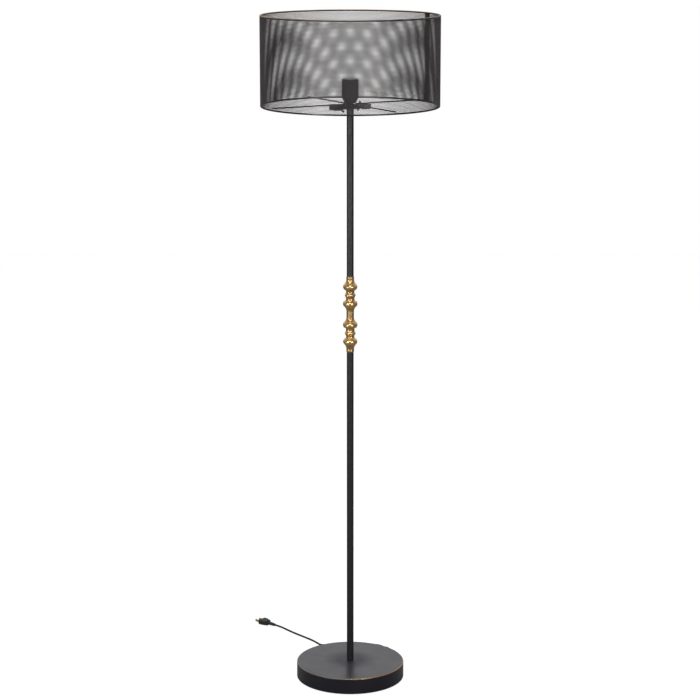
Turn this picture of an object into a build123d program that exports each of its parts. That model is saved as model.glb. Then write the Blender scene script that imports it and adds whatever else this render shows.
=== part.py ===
from build123d import *
import os
from math import cos, hypot, pi, radians, sin, tan

# Floor lamp: a weighted round base, a three-piece tube pole with a turned column half way up,
# a cross bar with a four-spoke spider, a perforated drum shade and an open lampholder.
# Millimetres, +Z up. The origin is on the floor, on the pole's axis, and the front faces -Y.

os.makedirs("parts", exist_ok=True)

# Clearances
thread_gap = 0.05  # radial, between the two halves of a thread
press_gap = 0.02  # radial, bush in a tube
hole_gap = 0.2  # radial, a threaded tube or a wire in a plain hole
slide_gap = 0.1  # beside faces that move past each other
weld_gap = 0.2  # radial, a ring inside the shade's wall
board_gap = 0.5  # radial, closing board and pad inside the pressed cover

# Base
base_r = 127.0
base_h = 38.8
cover_t = 1.2
cover_edge_r = 3.0
lip_w = 6.0  # the rolled lip under the cover's wall
pad_t = 2.2
board_t = 2.0
weight_t = 13.0
weight_side_gap = 3.0
washer_r = 12.5
washer_t = 1.6
nut_flats = 17.0
nut_h = 5.0
nipple_tail = 2.0  # thread that stands out below the nut

# Threaded tube, used at every joint of the pole
nipple_r = 5.0
nipple_bore_r = 3.8

# Pole
tube_r = 8.0
tube_t = 1.2
lower_len = 376.6
middle_len = 376.6
upper_len = 384.0
bush_len = 12.0
bush_inset = 0.5  # below the tube's end
nipple_grip = 11.0  # length of thread in each side of a joint

# Turned column: lengths along the axis, from its middle to its end
waist_len = 6.5
cove_len = 11.7
bulb_len = 12.4
shoulder_len = 1.0
neck_len = 9.4
ring_len = 7.6
upper_neck_len = 7.0
bead_step = 1.0
bead_len = 13.0
flare_len = 10.4
collar_len = 8.5
collar_ring_len = 2.0
# and its radii in the same order
waist_r = 8.65
cove_mid_r = 10.2
bulb_foot_r = 14.0
bulb_r = 16.75
bulb_top_r = 14.6
shoulder_r = 10.9
neck_r = 9.8
ring_r = 12.4
ring_top_r = 10.7
upper_neck_r = 9.5
upper_neck_top_r = 10.3
bead_foot_r = 11.5
bead_r = 16.5
bead_top_r = 14.5
flare_mid_r = 10.6
collar_r = 8.9
collar_ring_r = 9.2

# Cross bar and spider
bar_angle = 30.0  # in plan, from +X
bar_half = 48.0
bar_w = 17.0
bar_h = 8.0
bar_t = 1.2
plate_t = 1.5
plate_over = 1.0  # the plate stands past the bar's ends
hub_r = 14.0
saddle_len = 25.0
saddle_drop = 1.4  # below the bar's underside
saddle_t = 1.2
saddle_corner_r = 3.0
wire_r = 1.6  # spokes
spoke_long_start = 13.0  # on the plate, along the bar
spoke_short_start = 9.0  # on the hub disc, across the bar

# Shade
shade_r = 203.2
sheet_t = 0.6
ring_wire_r = 2.2
rim_span = 201.3  # between the two rings' centres
lap_w = 18.0
lap_angle = 30.0
window_columns = 24  # the wall's perforation as a coarse grid, with the same share of open sheet
window_rows = 5
window_bar = 10.0  # sheet left between neighbouring openings
hem_h = 6.0  # plain sheet at the top and the bottom

# Wing screws
screw_r = 2.5
screw_at = 33.0  # along the bar, from the pole's axis
screw_reach = 2.3  # past the inner face of the bar's wall
boss_r = 4.2
boss_len = 7.0
wing_half = 11.0
wing_rise = 12.0
wing_t = 2.2
wing_left_angle = -54.0  # of the wings, from the bar's direction
wing_right_angle = 73.0

# Lampholder
holder_r = 19.0
cap_h = 17.5
shell_len = 40.5
holder_neck_r = 7.5
holder_neck_h = 3.7
cap_foot_r = 12.4
cap_t = 2.0
cap_step_h = 5.0  # depth of the cavity's wide part below the seam
spigot_h = 6.0
spigot_t = 2.05
shell_bore_r = 15.6
shell_edge_r = 0.8
core_flange_t = 4.0
core_floor_t = 8.0
core_r = 15.2
core_under_rim = 2.0  # the core's wall stops this far below the holder's mouth
recess_r = 7.5
recess_t = 5.0
lamp_thread_r = 13.25
sleeve_t = 0.4
sleeve_len = 23.0
strip_len = 12.0
strip_w = 5.0
strip_t = 0.4
eye_r = 0.6
tongue_len = 9.5
tongue_angle = 24.0
terminal_at = 10.5
terminal_head_r = 3.0
terminal_head_h = 2.2
terminal_r = 1.75
terminal_len = 5.0
core_wire_r = 1.1
core_wire_at = 1.3

# Cord: flat twin, standing on edge
cord_w = 3.0
cord_h = 5.0
lead_end = 2.0  # above the top nipple
grommet_angle = 57.0
grommet_z = 11.0
grommet_r = 6.0
grommet_neck_r = 4.3
grommet_flange_t = 2.4
tail_len = 30.0  # outside the cover's wall
tail_tip_r = 3.6
lead_low_z = 7.0
lead_bend_r = 12.0
hank_x = 10.0
hank_y = 157.0
hank_half = 48.0
hank_runs = 9
hank_gap = 0.6  # between neighbouring turns, sideways and upwards
hank_mid = 19.0  # innermost run from the long axis
hank_draw = 5.0  # how far the tie draws each run in
tie_w = 10.0
tie_t = 0.9
tie_gap = 0.3
hank_end = 5.0

# Plug
plug_tail = 22.0
plug_tail_r = 4.6
plug_l = 24.0
plug_w = 25.0
plug_t = 12.0
blade_l = 16.0
blade_w = 6.35
blade_t = 1.5
blade_span = 12.7
blade_root = 6.0

# Heights and reaches that follow from the sizes above
board_z = pad_t
tail_end = base_r + tail_len
cover_under = base_h - cover_t
weight_z = cover_under - weight_t
washer_z = weight_z - washer_t
nut_z = washer_z - nut_h
base_nipple_z = nut_z - nipple_tail
lower_top = base_h + lower_len
middle_top = lower_top + middle_len
column_half = waist_len + cove_len + bulb_len + shoulder_len + neck_len + ring_len
column_half += upper_neck_len + bead_step + bead_len + flare_len + collar_len
column_mid = middle_top + column_half
column_top = middle_top + 2 * column_half
pole_top = column_top + upper_len
bar_top = pole_top + bar_h
plate_top = bar_top + plate_t
spoke_z = plate_top + wire_r
low_rim_z = plate_top - ring_wire_r
high_rim_z = low_rim_z + rim_span
rim_r = shade_r - sheet_t - ring_wire_r - weld_gap
lap_reach = 4.0  # a flat cutter this deep clears the curved wall and the lap behind it
seam_z = plate_top + cap_h
cap_floor = plate_top + holder_neck_h + cap_t
top_nipple_end = cap_floor + cap_t + bar_t
core_z = seam_z + spigot_h
core_floor = core_z + core_floor_t
holder_top = seam_z + shell_len
lead_top = top_nipple_end + lead_end
thread_r = nipple_r + thread_gap
plain_r = nipple_r + hole_gap



def flats(start, middle, end, count):
    """Points that divide the arc through three points into equal flats, without its start."""
    arc = ThreePointArc(start, middle, end, mode=Mode.PRIVATE)
    return [arc @ (i / count) for i in range(1, count + 1)]


# ---------------------------------------------------------------- base
with BuildPart() as base_pad:
    with BuildSketch():
        Circle(base_r - lip_w - board_gap)
    extrude(amount=pad_t)
base_pad.part.label = "base_pad"
export_step(base_pad.part, "parts/base_pad.step")

with BuildPart() as base_board:
    with BuildSketch(Plane.XY.offset(board_z)):
        Circle(base_r - cover_t - board_gap)
    extrude(amount=board_t)
base_board.part.label = "base_board"
export_step(base_board.part, "parts/base_board.step")

# The cover is a pressed pan: flat top, rounded edge, straight wall, lip rolled in below.
with BuildPart() as base_cover:
    edge_in = cover_edge_r * (1 - cos(pi / 4))
    edge_flats = flats(
        (base_r - cover_edge_r, base_h),
        (base_r - edge_in, base_h - edge_in),
        (base_r, base_h - cover_edge_r),
        2,
    )
    with BuildSketch(Plane.XZ):
        with BuildLine():
            Polyline(
                (plain_r, base_h),
                (base_r - cover_edge_r, base_h),
                *edge_flats,
                (base_r, board_z - cover_t),
                (base_r - lip_w, board_z - cover_t),
                (base_r - lip_w, board_z),
                (base_r - cover_t, board_z),
                (base_r - cover_t, cover_under - cover_edge_r + cover_t),
                (base_r - cover_edge_r, cover_under),
                (plain_r, cover_under),
                close=True,
            )
        make_face()
    revolve(axis=Axis.Z)
    # the hole for the cord's grommet, through the wall only
    out = (cos(radians(grommet_angle)), sin(radians(grommet_angle)), 0)
    with BuildSketch(Plane(origin=(out[0] * base_r, out[1] * base_r, grommet_z), z_dir=out)):
        Circle(grommet_neck_r + slide_gap)
    extrude(amount=2 * cover_t, both=True, mode=Mode.SUBTRACT)
base_cover.part.label = "base_cover"
export_step(base_cover.part, "parts/base_cover.step")

with BuildPart() as base_weight:
    with BuildSketch(Plane.XY.offset(weight_z)):
        Circle(base_r - cover_t - weight_side_gap)
        Circle(plain_r, mode=Mode.SUBTRACT)
    extrude(amount=weight_t)
base_weight.part.label = "base_weight"
export_step(base_weight.part, "parts/base_weight.step")

with BuildPart() as base_washer:
    with BuildSketch(Plane.XY.offset(washer_z)):
        Circle(washer_r)
        Circle(plain_r, mode=Mode.SUBTRACT)
    extrude(amount=washer_t)
base_washer.part.label = "base_washer"
export_step(base_washer.part, "parts/base_washer.step")

with BuildPart() as base_nut:
    with BuildSketch(Plane.XY.offset(nut_z)):
        RegularPolygon(radius=nut_flats / 2, side_count=6, major_radius=False)
        Circle(thread_r, mode=Mode.SUBTRACT)
    extrude(amount=nut_h)
base_nut.part.label = "base_nut"
export_step(base_nut.part, "parts/base_nut.step")

with BuildPart() as base_nipple:
    with BuildSketch(Plane.XY.offset(base_nipple_z)):
        Circle(nipple_r)
        Circle(nipple_bore_r, mode=Mode.SUBTRACT)
    extrude(amount=base_h + nipple_grip - base_nipple_z)
base_nipple.part.label = "base_nipple"
export_step(base_nipple.part, "parts/base_nipple.step")

# The grommet grips the wall's hole between two flanges and tapers to a tail outside.
wall_dip = base_r - (base_r**2 - grommet_r**2) ** 0.5  # how far the round wall falls away
grommet_in = base_r - cover_t - wall_dip - slide_gap
grommet_out = base_r + slide_gap
lead_bore_r = hypot(cord_w, cord_h) / 2 + thread_gap
with BuildPart() as cord_grommet:
    with BuildSketch(Plane(origin=(0, 0, grommet_z), x_dir=out, z_dir=(out[1], -out[0], 0))):
        with BuildLine():
            Polyline(
                (grommet_in - grommet_flange_t, lead_bore_r),
                (grommet_in - grommet_flange_t, grommet_r),
                (grommet_in, grommet_r),
                (grommet_in, grommet_neck_r),
                (grommet_out, grommet_neck_r),
                (grommet_out, grommet_r),
                (tail_end, tail_tip_r),
                (tail_end, lead_bore_r),
                close=True,
            )
        make_face()
    revolve(axis=Axis(origin=(0, 0, grommet_z), direction=out))
cord_grommet.part.label = "cord_grommet"
export_step(cord_grommet.part, "parts/cord_grommet.step")

# ---------------------------------------------------------------- pole
with BuildPart() as lower_tube:
    with BuildSketch(Plane.XY.offset(base_h)):
        Circle(tube_r)
        Circle(tube_r - tube_t, mode=Mode.SUBTRACT)
    extrude(amount=lower_len)
lower_tube.part.label = "lower_tube"
export_step(lower_tube.part, "parts/lower_tube.step")

with BuildPart() as middle_tube:
    with BuildSketch(Plane.XY.offset(lower_top)):
        Circle(tube_r)
        Circle(tube_r - tube_t, mode=Mode.SUBTRACT)
    extrude(amount=middle_len)
middle_tube.part.label = "middle_tube"
export_step(middle_tube.part, "parts/middle_tube.step")

with BuildPart() as upper_tube:
    with BuildSketch(Plane.XY.offset(column_top)):
        Circle(tube_r)
        Circle(tube_r - tube_t, mode=Mode.SUBTRACT)
    extrude(amount=upper_len)
upper_tube.part.label = "upper_tube"
export_step(upper_tube.part, "parts/upper_tube.step")

# Two bushes in each tube, just inside its ends
tube_ends = [(base_h, lower_top), (lower_top, middle_top), (column_top, pole_top)]
bush_bottoms = [foot + bush_inset for foot, head in tube_ends]
bush_bottoms += [head - bush_inset - bush_len for foot, head in tube_ends]
with BuildPart() as tube_bushes:
    with BuildSketch(*[Plane.XY.offset(z) for z in bush_bottoms]):
        Circle(tube_r - tube_t - press_gap)
        Circle(thread_r, mode=Mode.SUBTRACT)
    extrude(amount=bush_len)
tube_bushes.part.label = "tube_bushes"
export_step(tube_bushes.part, "parts/tube_bushes.step")

with BuildPart() as coupler_nipples:
    joints = [lower_top, middle_top, column_top]
    with BuildSketch(*[Plane.XY.offset(z - nipple_grip) for z in joints]):
        Circle(nipple_r)
        Circle(nipple_bore_r, mode=Mode.SUBTRACT)
    extrude(amount=2 * nipple_grip)
coupler_nipples.part.label = "coupler_nipples"
export_step(coupler_nipples.part, "parts/coupler_nipples.step")

# The turned column: one half of the profile, mirrored about the waist
cove_h = waist_len + cove_len
bulb_h = cove_h + bulb_len
shoulder_h = bulb_h + shoulder_len
neck_h = shoulder_h + neck_len
ring_h = neck_h + ring_len
upper_neck_h = ring_h + upper_neck_len
bead_h = upper_neck_h + bead_step
flare_h = bead_h + bead_len
collar_h = flare_h + flare_len
profile = [(waist_r, 0), (waist_r, waist_len)]
profile += flats(profile[-1], (cove_mid_r, waist_len + 0.6 * cove_len), (bulb_foot_r, cove_h), 2)
profile += flats(profile[-1], (bulb_r, cove_h + 0.53 * bulb_len), (bulb_top_r, bulb_h), 3)
profile += [(shoulder_r, shoulder_h)]
profile += flats(profile[-1], (neck_r, shoulder_h + 0.55 * neck_len), (shoulder_r, neck_h), 2)
profile += flats(profile[-1], (ring_r, neck_h + 0.51 * ring_len), (ring_top_r, ring_h), 2)
profile += flats(
    profile[-1], (upper_neck_r, ring_h + 0.55 * upper_neck_len), (upper_neck_top_r, upper_neck_h), 2
)
profile += [(bead_foot_r, bead_h)]
profile += flats(profile[-1], (bead_r, bead_h + 0.6 * bead_len), (bead_top_r, flare_h), 3)
profile += flats(profile[-1], (flare_mid_r, flare_h + 0.5 * flare_len), (collar_r, collar_h), 2)
with BuildPart() as turned_column:
    with BuildSketch(Plane.XZ):
        with BuildLine():
            Polyline(*profile, (collar_r, column_half), (thread_r, column_half), (thread_r, 0), close=True)
        make_face()
        # a fine raised ring on the collar
        with Locations(((collar_r + collar_ring_r) / 2 - 0.5, collar_h + collar_len / 2)):
            Rectangle(collar_ring_r - collar_r + 1.0, collar_ring_len)
        mirror(about=Plane.XZ)
    revolve(axis=Axis.Z)
turned_column.part.locate(Location((0, 0, column_mid)))
turned_column.part.label = "turned_column"
export_step(turned_column.part, "parts/turned_column.step")

with BuildPart() as top_nipple:
    with BuildSketch(Plane.XY.offset(pole_top - nipple_grip)):
        Circle(nipple_r)
        Circle(nipple_bore_r, mode=Mode.SUBTRACT)
    extrude(amount=top_nipple_end - pole_top + nipple_grip)
top_nipple.part.label = "top_nipple"
export_step(top_nipple.part, "parts/top_nipple.step")

# ---------------------------------------------------------------- cross bar and spider
along = (cos(radians(bar_angle)), sin(radians(bar_angle)), 0)
across = (-along[1], along[0], 0)  # to the back of the bar
bar_mid = pole_top + bar_h / 2
bar_plane = Plane(origin=(0, 0, bar_mid), x_dir=along, z_dir=(0, 0, 1))
bar_section = Plane(origin=(0, 0, bar_mid), x_dir=across, z_dir=along)
# planes square to the bar's sides at each screw, with local x along the bar and z outwards
left_at = (-screw_at * along[0], -screw_at * along[1], bar_mid)
right_at = (screw_at * along[0], screw_at * along[1], bar_mid)
left_plane = Plane(origin=left_at, x_dir=along, z_dir=(-across[0], -across[1], 0))
right_plane = Plane(origin=right_at, x_dir=along, z_dir=across)

with BuildPart() as cross_bar:
    with BuildSketch(bar_section):
        RectangleRounded(bar_w, bar_h, bar_t)
        Rectangle(bar_w - 2 * bar_t, bar_h - 2 * bar_t, mode=Mode.SUBTRACT)
    extrude(amount=bar_half, both=True)
    with BuildSketch(bar_plane):
        Circle(plain_r)
    extrude(amount=bar_h, both=True, mode=Mode.SUBTRACT)
    with BuildSketch(left_plane, right_plane):
        Circle(screw_r + thread_gap)
    extrude(amount=bar_w, mode=Mode.SUBTRACT)
cross_bar.part.label = "cross_bar"
export_step(cross_bar.part, "parts/cross_bar.step")

# The plate lies on the bar, with a saddle folded down over each end of it.
plate_half = bar_half + plate_over
saddle_mid = plate_half - saddle_len / 2
saddle_h = bar_h + plate_t + saddle_drop
with BuildPart() as spider_plate:
    with BuildSketch(bar_plane.offset(bar_h / 2)):
        Rectangle(2 * plate_half, bar_w)
        Circle(hub_r)
        with Locations((-saddle_mid, 0), (saddle_mid, 0)):
            Rectangle(saddle_len, bar_w + 2 * saddle_t)
        Circle(plain_r, mode=Mode.SUBTRACT)
    extrude(amount=plate_t)
    for side in (-1, 1):
        face = side * bar_w / 2
        flank = Plane(
            origin=(face * across[0], face * across[1], plate_top - saddle_h / 2),
            x_dir=along,
            z_dir=(side * across[0], side * across[1], 0),
        )
        with BuildSketch(flank) as flank_sketch:
            with Locations((-saddle_mid, 0), (saddle_mid, 0)):
                Rectangle(saddle_len, saddle_h)
            lowest = flank_sketch.vertices().group_by(Axis.Y)[0 if flank.y_dir.Z > 0 else -1]
            fillet(lowest, radius=saddle_corner_r)
        extrude(amount=saddle_t)
    with BuildSketch(left_plane, right_plane):
        Circle(screw_r + hole_gap)
    extrude(amount=bar_w, mode=Mode.SUBTRACT)
spider_plate.part.label = "spider_plate"
export_step(spider_plate.part, "parts/spider_plate.step")

# Four wires: two along the bar on the plate, two across it from the hub disc, all on the hem
spoke_end = rim_r
back_right = Vector(*along)
back_left = Vector(*across)
with BuildPart() as spoke_back_right:
    with BuildSketch(Plane(origin=back_right * spoke_long_start + Vector(0, 0, spoke_z), z_dir=along)):
        Circle(wire_r)
    extrude(amount=spoke_end - spoke_long_start)
spoke_back_right.part.label = "spoke_back_right"
export_step(spoke_back_right.part, "parts/spoke_back_right.step")

with BuildPart() as spoke_front_left:
    with BuildSketch(
        Plane(origin=back_right * -spoke_long_start + Vector(0, 0, spoke_z), z_dir=-back_right)
    ):
        Circle(wire_r)
    extrude(amount=spoke_end - spoke_long_start)
spoke_front_left.part.label = "spoke_front_left"
export_step(spoke_front_left.part, "parts/spoke_front_left.step")

with BuildPart() as spoke_back_left:
    with BuildSketch(Plane(origin=back_left * spoke_short_start + Vector(0, 0, spoke_z), z_dir=across)):
        Circle(wire_r)
    extrude(amount=spoke_end - spoke_short_start)
spoke_back_left.part.label = "spoke_back_left"
export_step(spoke_back_left.part, "parts/spoke_back_left.step")

with BuildPart() as spoke_front_right:
    with BuildSketch(
        Plane(origin=back_left * -spoke_short_start + Vector(0, 0, spoke_z), z_dir=-back_left)
    ):
        Circle(wire_r)
    extrude(amount=spoke_end - spoke_short_start)
spoke_front_right.part.label = "spoke_front_right"
export_step(spoke_front_right.part, "parts/spoke_front_right.step")

# ---------------------------------------------------------------- shade
with BuildPart() as bottom_ring:
    with BuildSketch(Plane.XZ):
        with Locations((rim_r, low_rim_z)):
            RegularPolygon(radius=ring_wire_r, side_count=8, major_radius=False, rotation=22.5)
    revolve(axis=Axis.Z)
bottom_ring.part.label = "bottom_ring"
export_step(bottom_ring.part, "parts/bottom_ring.step")

with BuildPart() as top_ring:
    with BuildSketch(Plane.XZ):
        with Locations((rim_r, high_rim_z)):
            RegularPolygon(radius=ring_wire_r, side_count=8, major_radius=False, rotation=22.5)
    revolve(axis=Axis.Z)
top_ring.part.label = "top_ring"
export_step(top_ring.part, "parts/top_ring.step")

# The sheet: a straight perforated wall round the two rings, lapped at the seam. A bar of the grid
# runs down the middle of the lap.
lap_arc = lap_w / shade_r * 180 / pi
lap_start = radians(lap_angle - lap_arc / 2)
lap_plane = Plane(
    origin=(0, 0, 0), x_dir=(cos(lap_start), sin(lap_start), 0), z_dir=(sin(lap_start), -cos(lap_start), 0)
)
wall_h = rim_span + 2 * ring_wire_r
wall_mid = (low_rim_z + high_rim_z) / 2
window_w = 2 * pi * shade_r / window_columns - window_bar
row_pitch = (wall_h - 2 * hem_h + window_bar) / window_rows
window_planes = []
for i in range(window_columns):
    facing = radians(lap_angle + (i + 0.5) * 360 / window_columns)
    window_planes.append(
        Plane(
            origin=((shade_r - lap_reach) * cos(facing), (shade_r - lap_reach) * sin(facing), wall_mid),
            x_dir=(-sin(facing), cos(facing), 0),
            z_dir=(cos(facing), sin(facing), 0),
        )
    )
with BuildPart() as shade_sheet:
    with BuildSketch(Plane.XY.offset(low_rim_z - ring_wire_r)):
        Circle(shade_r)
        Circle(shade_r - sheet_t, mode=Mode.SUBTRACT)
    extrude(amount=wall_h)
    with BuildSketch(lap_plane):
        with Locations((shade_r - 1.5 * sheet_t, wall_mid)):
            Rectangle(sheet_t, rim_span - 3 * ring_wire_r)
    revolve(axis=Axis.Z, revolution_arc=lap_arc)
    with BuildSketch(*window_planes):
        with GridLocations(window_w, row_pitch, 1, window_rows):
            Rectangle(window_w, row_pitch - window_bar)
    extrude(amount=2 * lap_reach, mode=Mode.SUBTRACT)
shade_sheet.part.label = "shade_sheet"
export_step(shade_sheet.part, "parts/shade_sheet.step")

# ---------------------------------------------------------------- wing screws
# In the wing plane, x runs out along the wings and y along the screw's axis.
face_out = bar_w / 2 + saddle_t + slide_gap  # the shoulder bears on the saddle
tip_in = bar_w / 2 - bar_t - screw_reach


def wing_plane(screw_plane, angle):
    """Plane through the screw's axis, with local x along the wings and local y outwards."""
    turned = screw_plane.x_dir * cos(radians(angle)) + Vector(0, 0, 1) * sin(radians(angle))
    return Plane(origin=screw_plane.origin, x_dir=turned, z_dir=turned.cross(screw_plane.z_dir))


with BuildPart() as wing_screw_left:
    with BuildSketch(left_plane.offset(tip_in)):
        Circle(screw_r)
    extrude(amount=face_out - tip_in)
    with BuildSketch(left_plane.offset(face_out)):
        Circle(boss_r)
    extrude(amount=boss_len)
    with BuildSketch(wing_plane(left_plane, wing_left_angle)) as ears:
        with BuildLine():
            Polyline(
                (0, face_out + 0.5),
                (boss_r, face_out + 0.5),
                (wing_half, face_out + wing_rise / 2),
                (wing_half - 0.5, face_out + wing_rise),
                (wing_half / 2, face_out + wing_rise * 0.8),
                (boss_r / 2, face_out + boss_len - 1.0),
                (0, face_out + boss_len - 1.0),
                close=True,
            )
        make_face()
        tips = ears.vertices().group_by(Axis.X)[-2:]
        fillet(tips[0] + tips[1], radius=2.0)
        mirror(about=Plane.YZ)
    extrude(amount=wing_t / 2, both=True)
wing_screw_left.part.label = "wing_screw_left"
export_step(wing_screw_left.part, "parts/wing_screw_left.step")

with BuildPart() as wing_screw_right:
    with BuildSketch(right_plane.offset(tip_in)):
        Circle(screw_r)
    extrude(amount=face_out - tip_in)
    with BuildSketch(right_plane.offset(face_out)):
        Circle(boss_r)
    extrude(amount=boss_len)
    with BuildSketch(wing_plane(right_plane, wing_right_angle)) as ears:
        with BuildLine():
            Polyline(
                (0, face_out + 0.5),
                (boss_r, face_out + 0.5),
                (wing_half, face_out + wing_rise / 2),
                (wing_half - 0.5, face_out + wing_rise),
                (wing_half / 2, face_out + wing_rise * 0.8),
                (boss_r / 2, face_out + boss_len - 1.0),
                (0, face_out + boss_len - 1.0),
                close=True,
            )
        make_face()
        tips = ears.vertices().group_by(Axis.X)[-2:]
        fillet(tips[0] + tips[1], radius=2.0)
        mirror(about=Plane.YZ)
    extrude(amount=wing_t / 2, both=True)
wing_screw_right.part.label = "wing_screw_right"
export_step(wing_screw_right.part, "parts/wing_screw_right.step")

# ---------------------------------------------------------------- lampholder
cap_under = plate_top + holder_neck_h
cap_cavity_z = cap_floor + cap_t  # the cone is this much thicker at its foot
spigot_r = holder_r - spigot_t
with BuildPart() as socket_cap:
    with BuildSketch(Plane.XZ):
        with BuildLine():
            Polyline(
                (thread_r, plate_top),
                (holder_neck_r, plate_top),
                (holder_neck_r, cap_under),
                (cap_foot_r, cap_under),
                (holder_r, seam_z - 1.0),
                (holder_r, seam_z),
                (spigot_r, seam_z),
                (spigot_r, core_z),
                (spigot_r - spigot_t, core_z),
                (spigot_r - spigot_t, seam_z - cap_step_h),
                (cap_foot_r, seam_z - cap_step_h),
                (cap_foot_r, cap_cavity_z),
                (thread_r, cap_cavity_z),
                close=True,
            )
        make_face()
    revolve(axis=Axis.Z)
socket_cap.part.label = "socket_cap"
export_step(socket_cap.part, "parts/socket_cap.step")

# The shell screws on the cap's spigot and holds the core's flange down with a shoulder.
flange_top = core_z + core_flange_t
with BuildPart() as socket_shell:
    with BuildSketch(Plane.XZ) as shell_section:
        with BuildLine():
            Polyline(
                (spigot_r + thread_gap, seam_z),
                (holder_r, seam_z),
                (holder_r, holder_top),
                (shell_bore_r, holder_top),
                (shell_bore_r, flange_top),
                (spigot_r + thread_gap, flange_top),
                close=True,
            )
        make_face()
        mouth = shell_section.vertices().group_by(Axis.Y)[-1]
        chamfer(mouth, length=shell_edge_r)
    revolve(axis=Axis.Z)
socket_shell.part.label = "socket_shell"
export_step(socket_shell.part, "parts/socket_shell.step")

sleeve_r = lamp_thread_r + sleeve_t
with BuildPart() as socket_core:
    with BuildSketch(Plane.XZ):
        with BuildLine():
            Polyline(
                (0, core_z),
                (spigot_r - slide_gap, core_z),
                (spigot_r - slide_gap, flange_top),
                (core_r, flange_top),
                (core_r, holder_top - core_under_rim),
                (sleeve_r + slide_gap, holder_top - core_under_rim),
                (sleeve_r + slide_gap, core_floor),
                (recess_r, core_floor),
                (recess_r, core_floor - recess_t),
                (0, core_floor - recess_t),
                close=True,
            )
        make_face()
    revolve(axis=Axis.Z)
    with BuildSketch(Plane.XY.offset(core_z)):
        with Locations((-terminal_at, 0), (terminal_at, 0)):
            Circle(terminal_r + thread_gap)
    extrude(amount=terminal_len + slide_gap, mode=Mode.SUBTRACT)
socket_core.part.label = "socket_core"
export_step(socket_core.part, "parts/socket_core.step")

with BuildPart() as screw_shell:
    with BuildSketch(Plane.XZ):
        with BuildLine():
            Polyline(
                (recess_r + 1.0, core_floor),
                (sleeve_r, core_floor),
                (sleeve_r, core_floor + sleeve_len),
                (lamp_thread_r, core_floor + sleeve_len),
                (lamp_thread_r, core_floor + sleeve_t),
                (recess_r + 1.0, core_floor + sleeve_t),
                close=True,
            )
        make_face()
    revolve(axis=Axis.Z)
screw_shell.part.label = "screw_shell"
export_step(screw_shell.part, "parts/screw_shell.step")

# The centre contact: a flat strip in the core's recess and a tongue that rises from one end
recess_z = core_floor - recess_t
with BuildPart() as centre_strip:
    with BuildSketch(Plane.XY.offset(recess_z)):
        Rectangle(strip_len, strip_w)
    extrude(amount=strip_t)
centre_strip.part.label = "centre_strip"
export_step(centre_strip.part, "parts/centre_strip.step")

tongue_x = -strip_len / 2 + eye_r
tongue_z = recess_z + strip_t + slide_gap + eye_r
rise = radians(tongue_angle)
tip_x = tongue_x + tongue_len * cos(rise)
tip_z = tongue_z + tongue_len * sin(rise)
with BuildPart() as centre_tongue:
    with BuildSketch(Plane.XZ):
        with BuildLine():
            Polyline((tongue_x, tongue_z), (tip_x, tip_z), (tip_x + 1.5, tip_z - 1.0))
        trace(line_width=strip_t)
        with Locations((tongue_x, tongue_z)):
            Circle(eye_r)
    extrude(amount=strip_w / 2, both=True)
centre_tongue.part.label = "centre_tongue"
export_step(centre_tongue.part, "parts/centre_tongue.step")

with BuildPart() as terminal_screws:
    with BuildSketch(Plane.XY.offset(core_z)):
        with Locations((-terminal_at, 0), (terminal_at, 0)):
            Circle(terminal_head_r)
    extrude(amount=-terminal_head_h)
    with BuildSketch(Plane.XY.offset(core_z)):
        with Locations((-terminal_at, 0), (terminal_at, 0)):
            Circle(terminal_r)
    extrude(amount=terminal_len)
terminal_screws.part.label = "terminal_screws"
export_step(terminal_screws.part, "parts/terminal_screws.step")


# ---------------------------------------------------------------- cord
def corner_radii(points):
    """Radius for each inner point: 0.45 of its shorter run over the tangent of half its turn."""
    vectors = [Vector(*p) for p in points]
    radii = []
    for before, here, after in zip(vectors, vectors[1:], vectors[2:]):
        half_turn = radians((here - before).get_angle(after - here)) / 2
        shorter = min((here - before).length, (after - here).length)
        radii.append(0.45 * shorter / tan(half_turn))
    return radii


def check_tube(name, tube, length):
    """Print the volume of a cord beside its section times its length."""
    volume = cord_w * cord_h * length
    print(f"{name}: length {length:.1f}, volume {tube.volume:.0f}, section x length {volume:.0f}")


# Inside the base the lead comes from the grommet, drops towards the board and turns up the pole.
lead_mid = 60.0
lead_route = [
    (out[0] * tail_end, out[1] * tail_end, grommet_z),
    (out[0] * 98.0, out[1] * 98.0, grommet_z),
    (out[0] * lead_mid, out[1] * lead_mid, lead_low_z),
    (0, 0, lead_low_z),
    (0, 0, lead_top),
]
with BuildPart() as inner_lead:
    with BuildLine() as lead_line:
        FilletPolyline(*lead_route, radius=[60.0, 60.0, lead_bend_r])
    with BuildSketch(Plane(origin=lead_route[0], x_dir=(0, 0, 1), z_dir=(-out[0], -out[1], 0))):
        Rectangle(cord_h, cord_w)
    sweep()
check_tube("inner_lead", inner_lead.part, lead_line.wire().length)
inner_lead.part.label = "inner_lead"
export_step(inner_lead.part, "parts/inner_lead.step")

# Two insulated cores fan out from the lead's end to the terminal screws.
with BuildPart() as terminal_wires:
    for side in (-1, 1):
        start = (side * core_wire_at, 0, lead_top)
        with BuildLine():
            FilletPolyline(
                start,
                (side * core_wire_at, 0, lead_top + 3.5),
                (side * terminal_at, 0, core_z - terminal_head_h - 3.5),
                (side * terminal_at, 0, core_z - terminal_head_h),
                radius=2 * core_wire_r,
            )
        with BuildSketch(Plane(origin=start, z_dir=(0, 0, 1))):
            RegularPolygon(radius=core_wire_r, side_count=6)
        sweep()
terminal_wires.part.label = "terminal_wires"
export_step(terminal_wires.part, "parts/terminal_wires.step")

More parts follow.
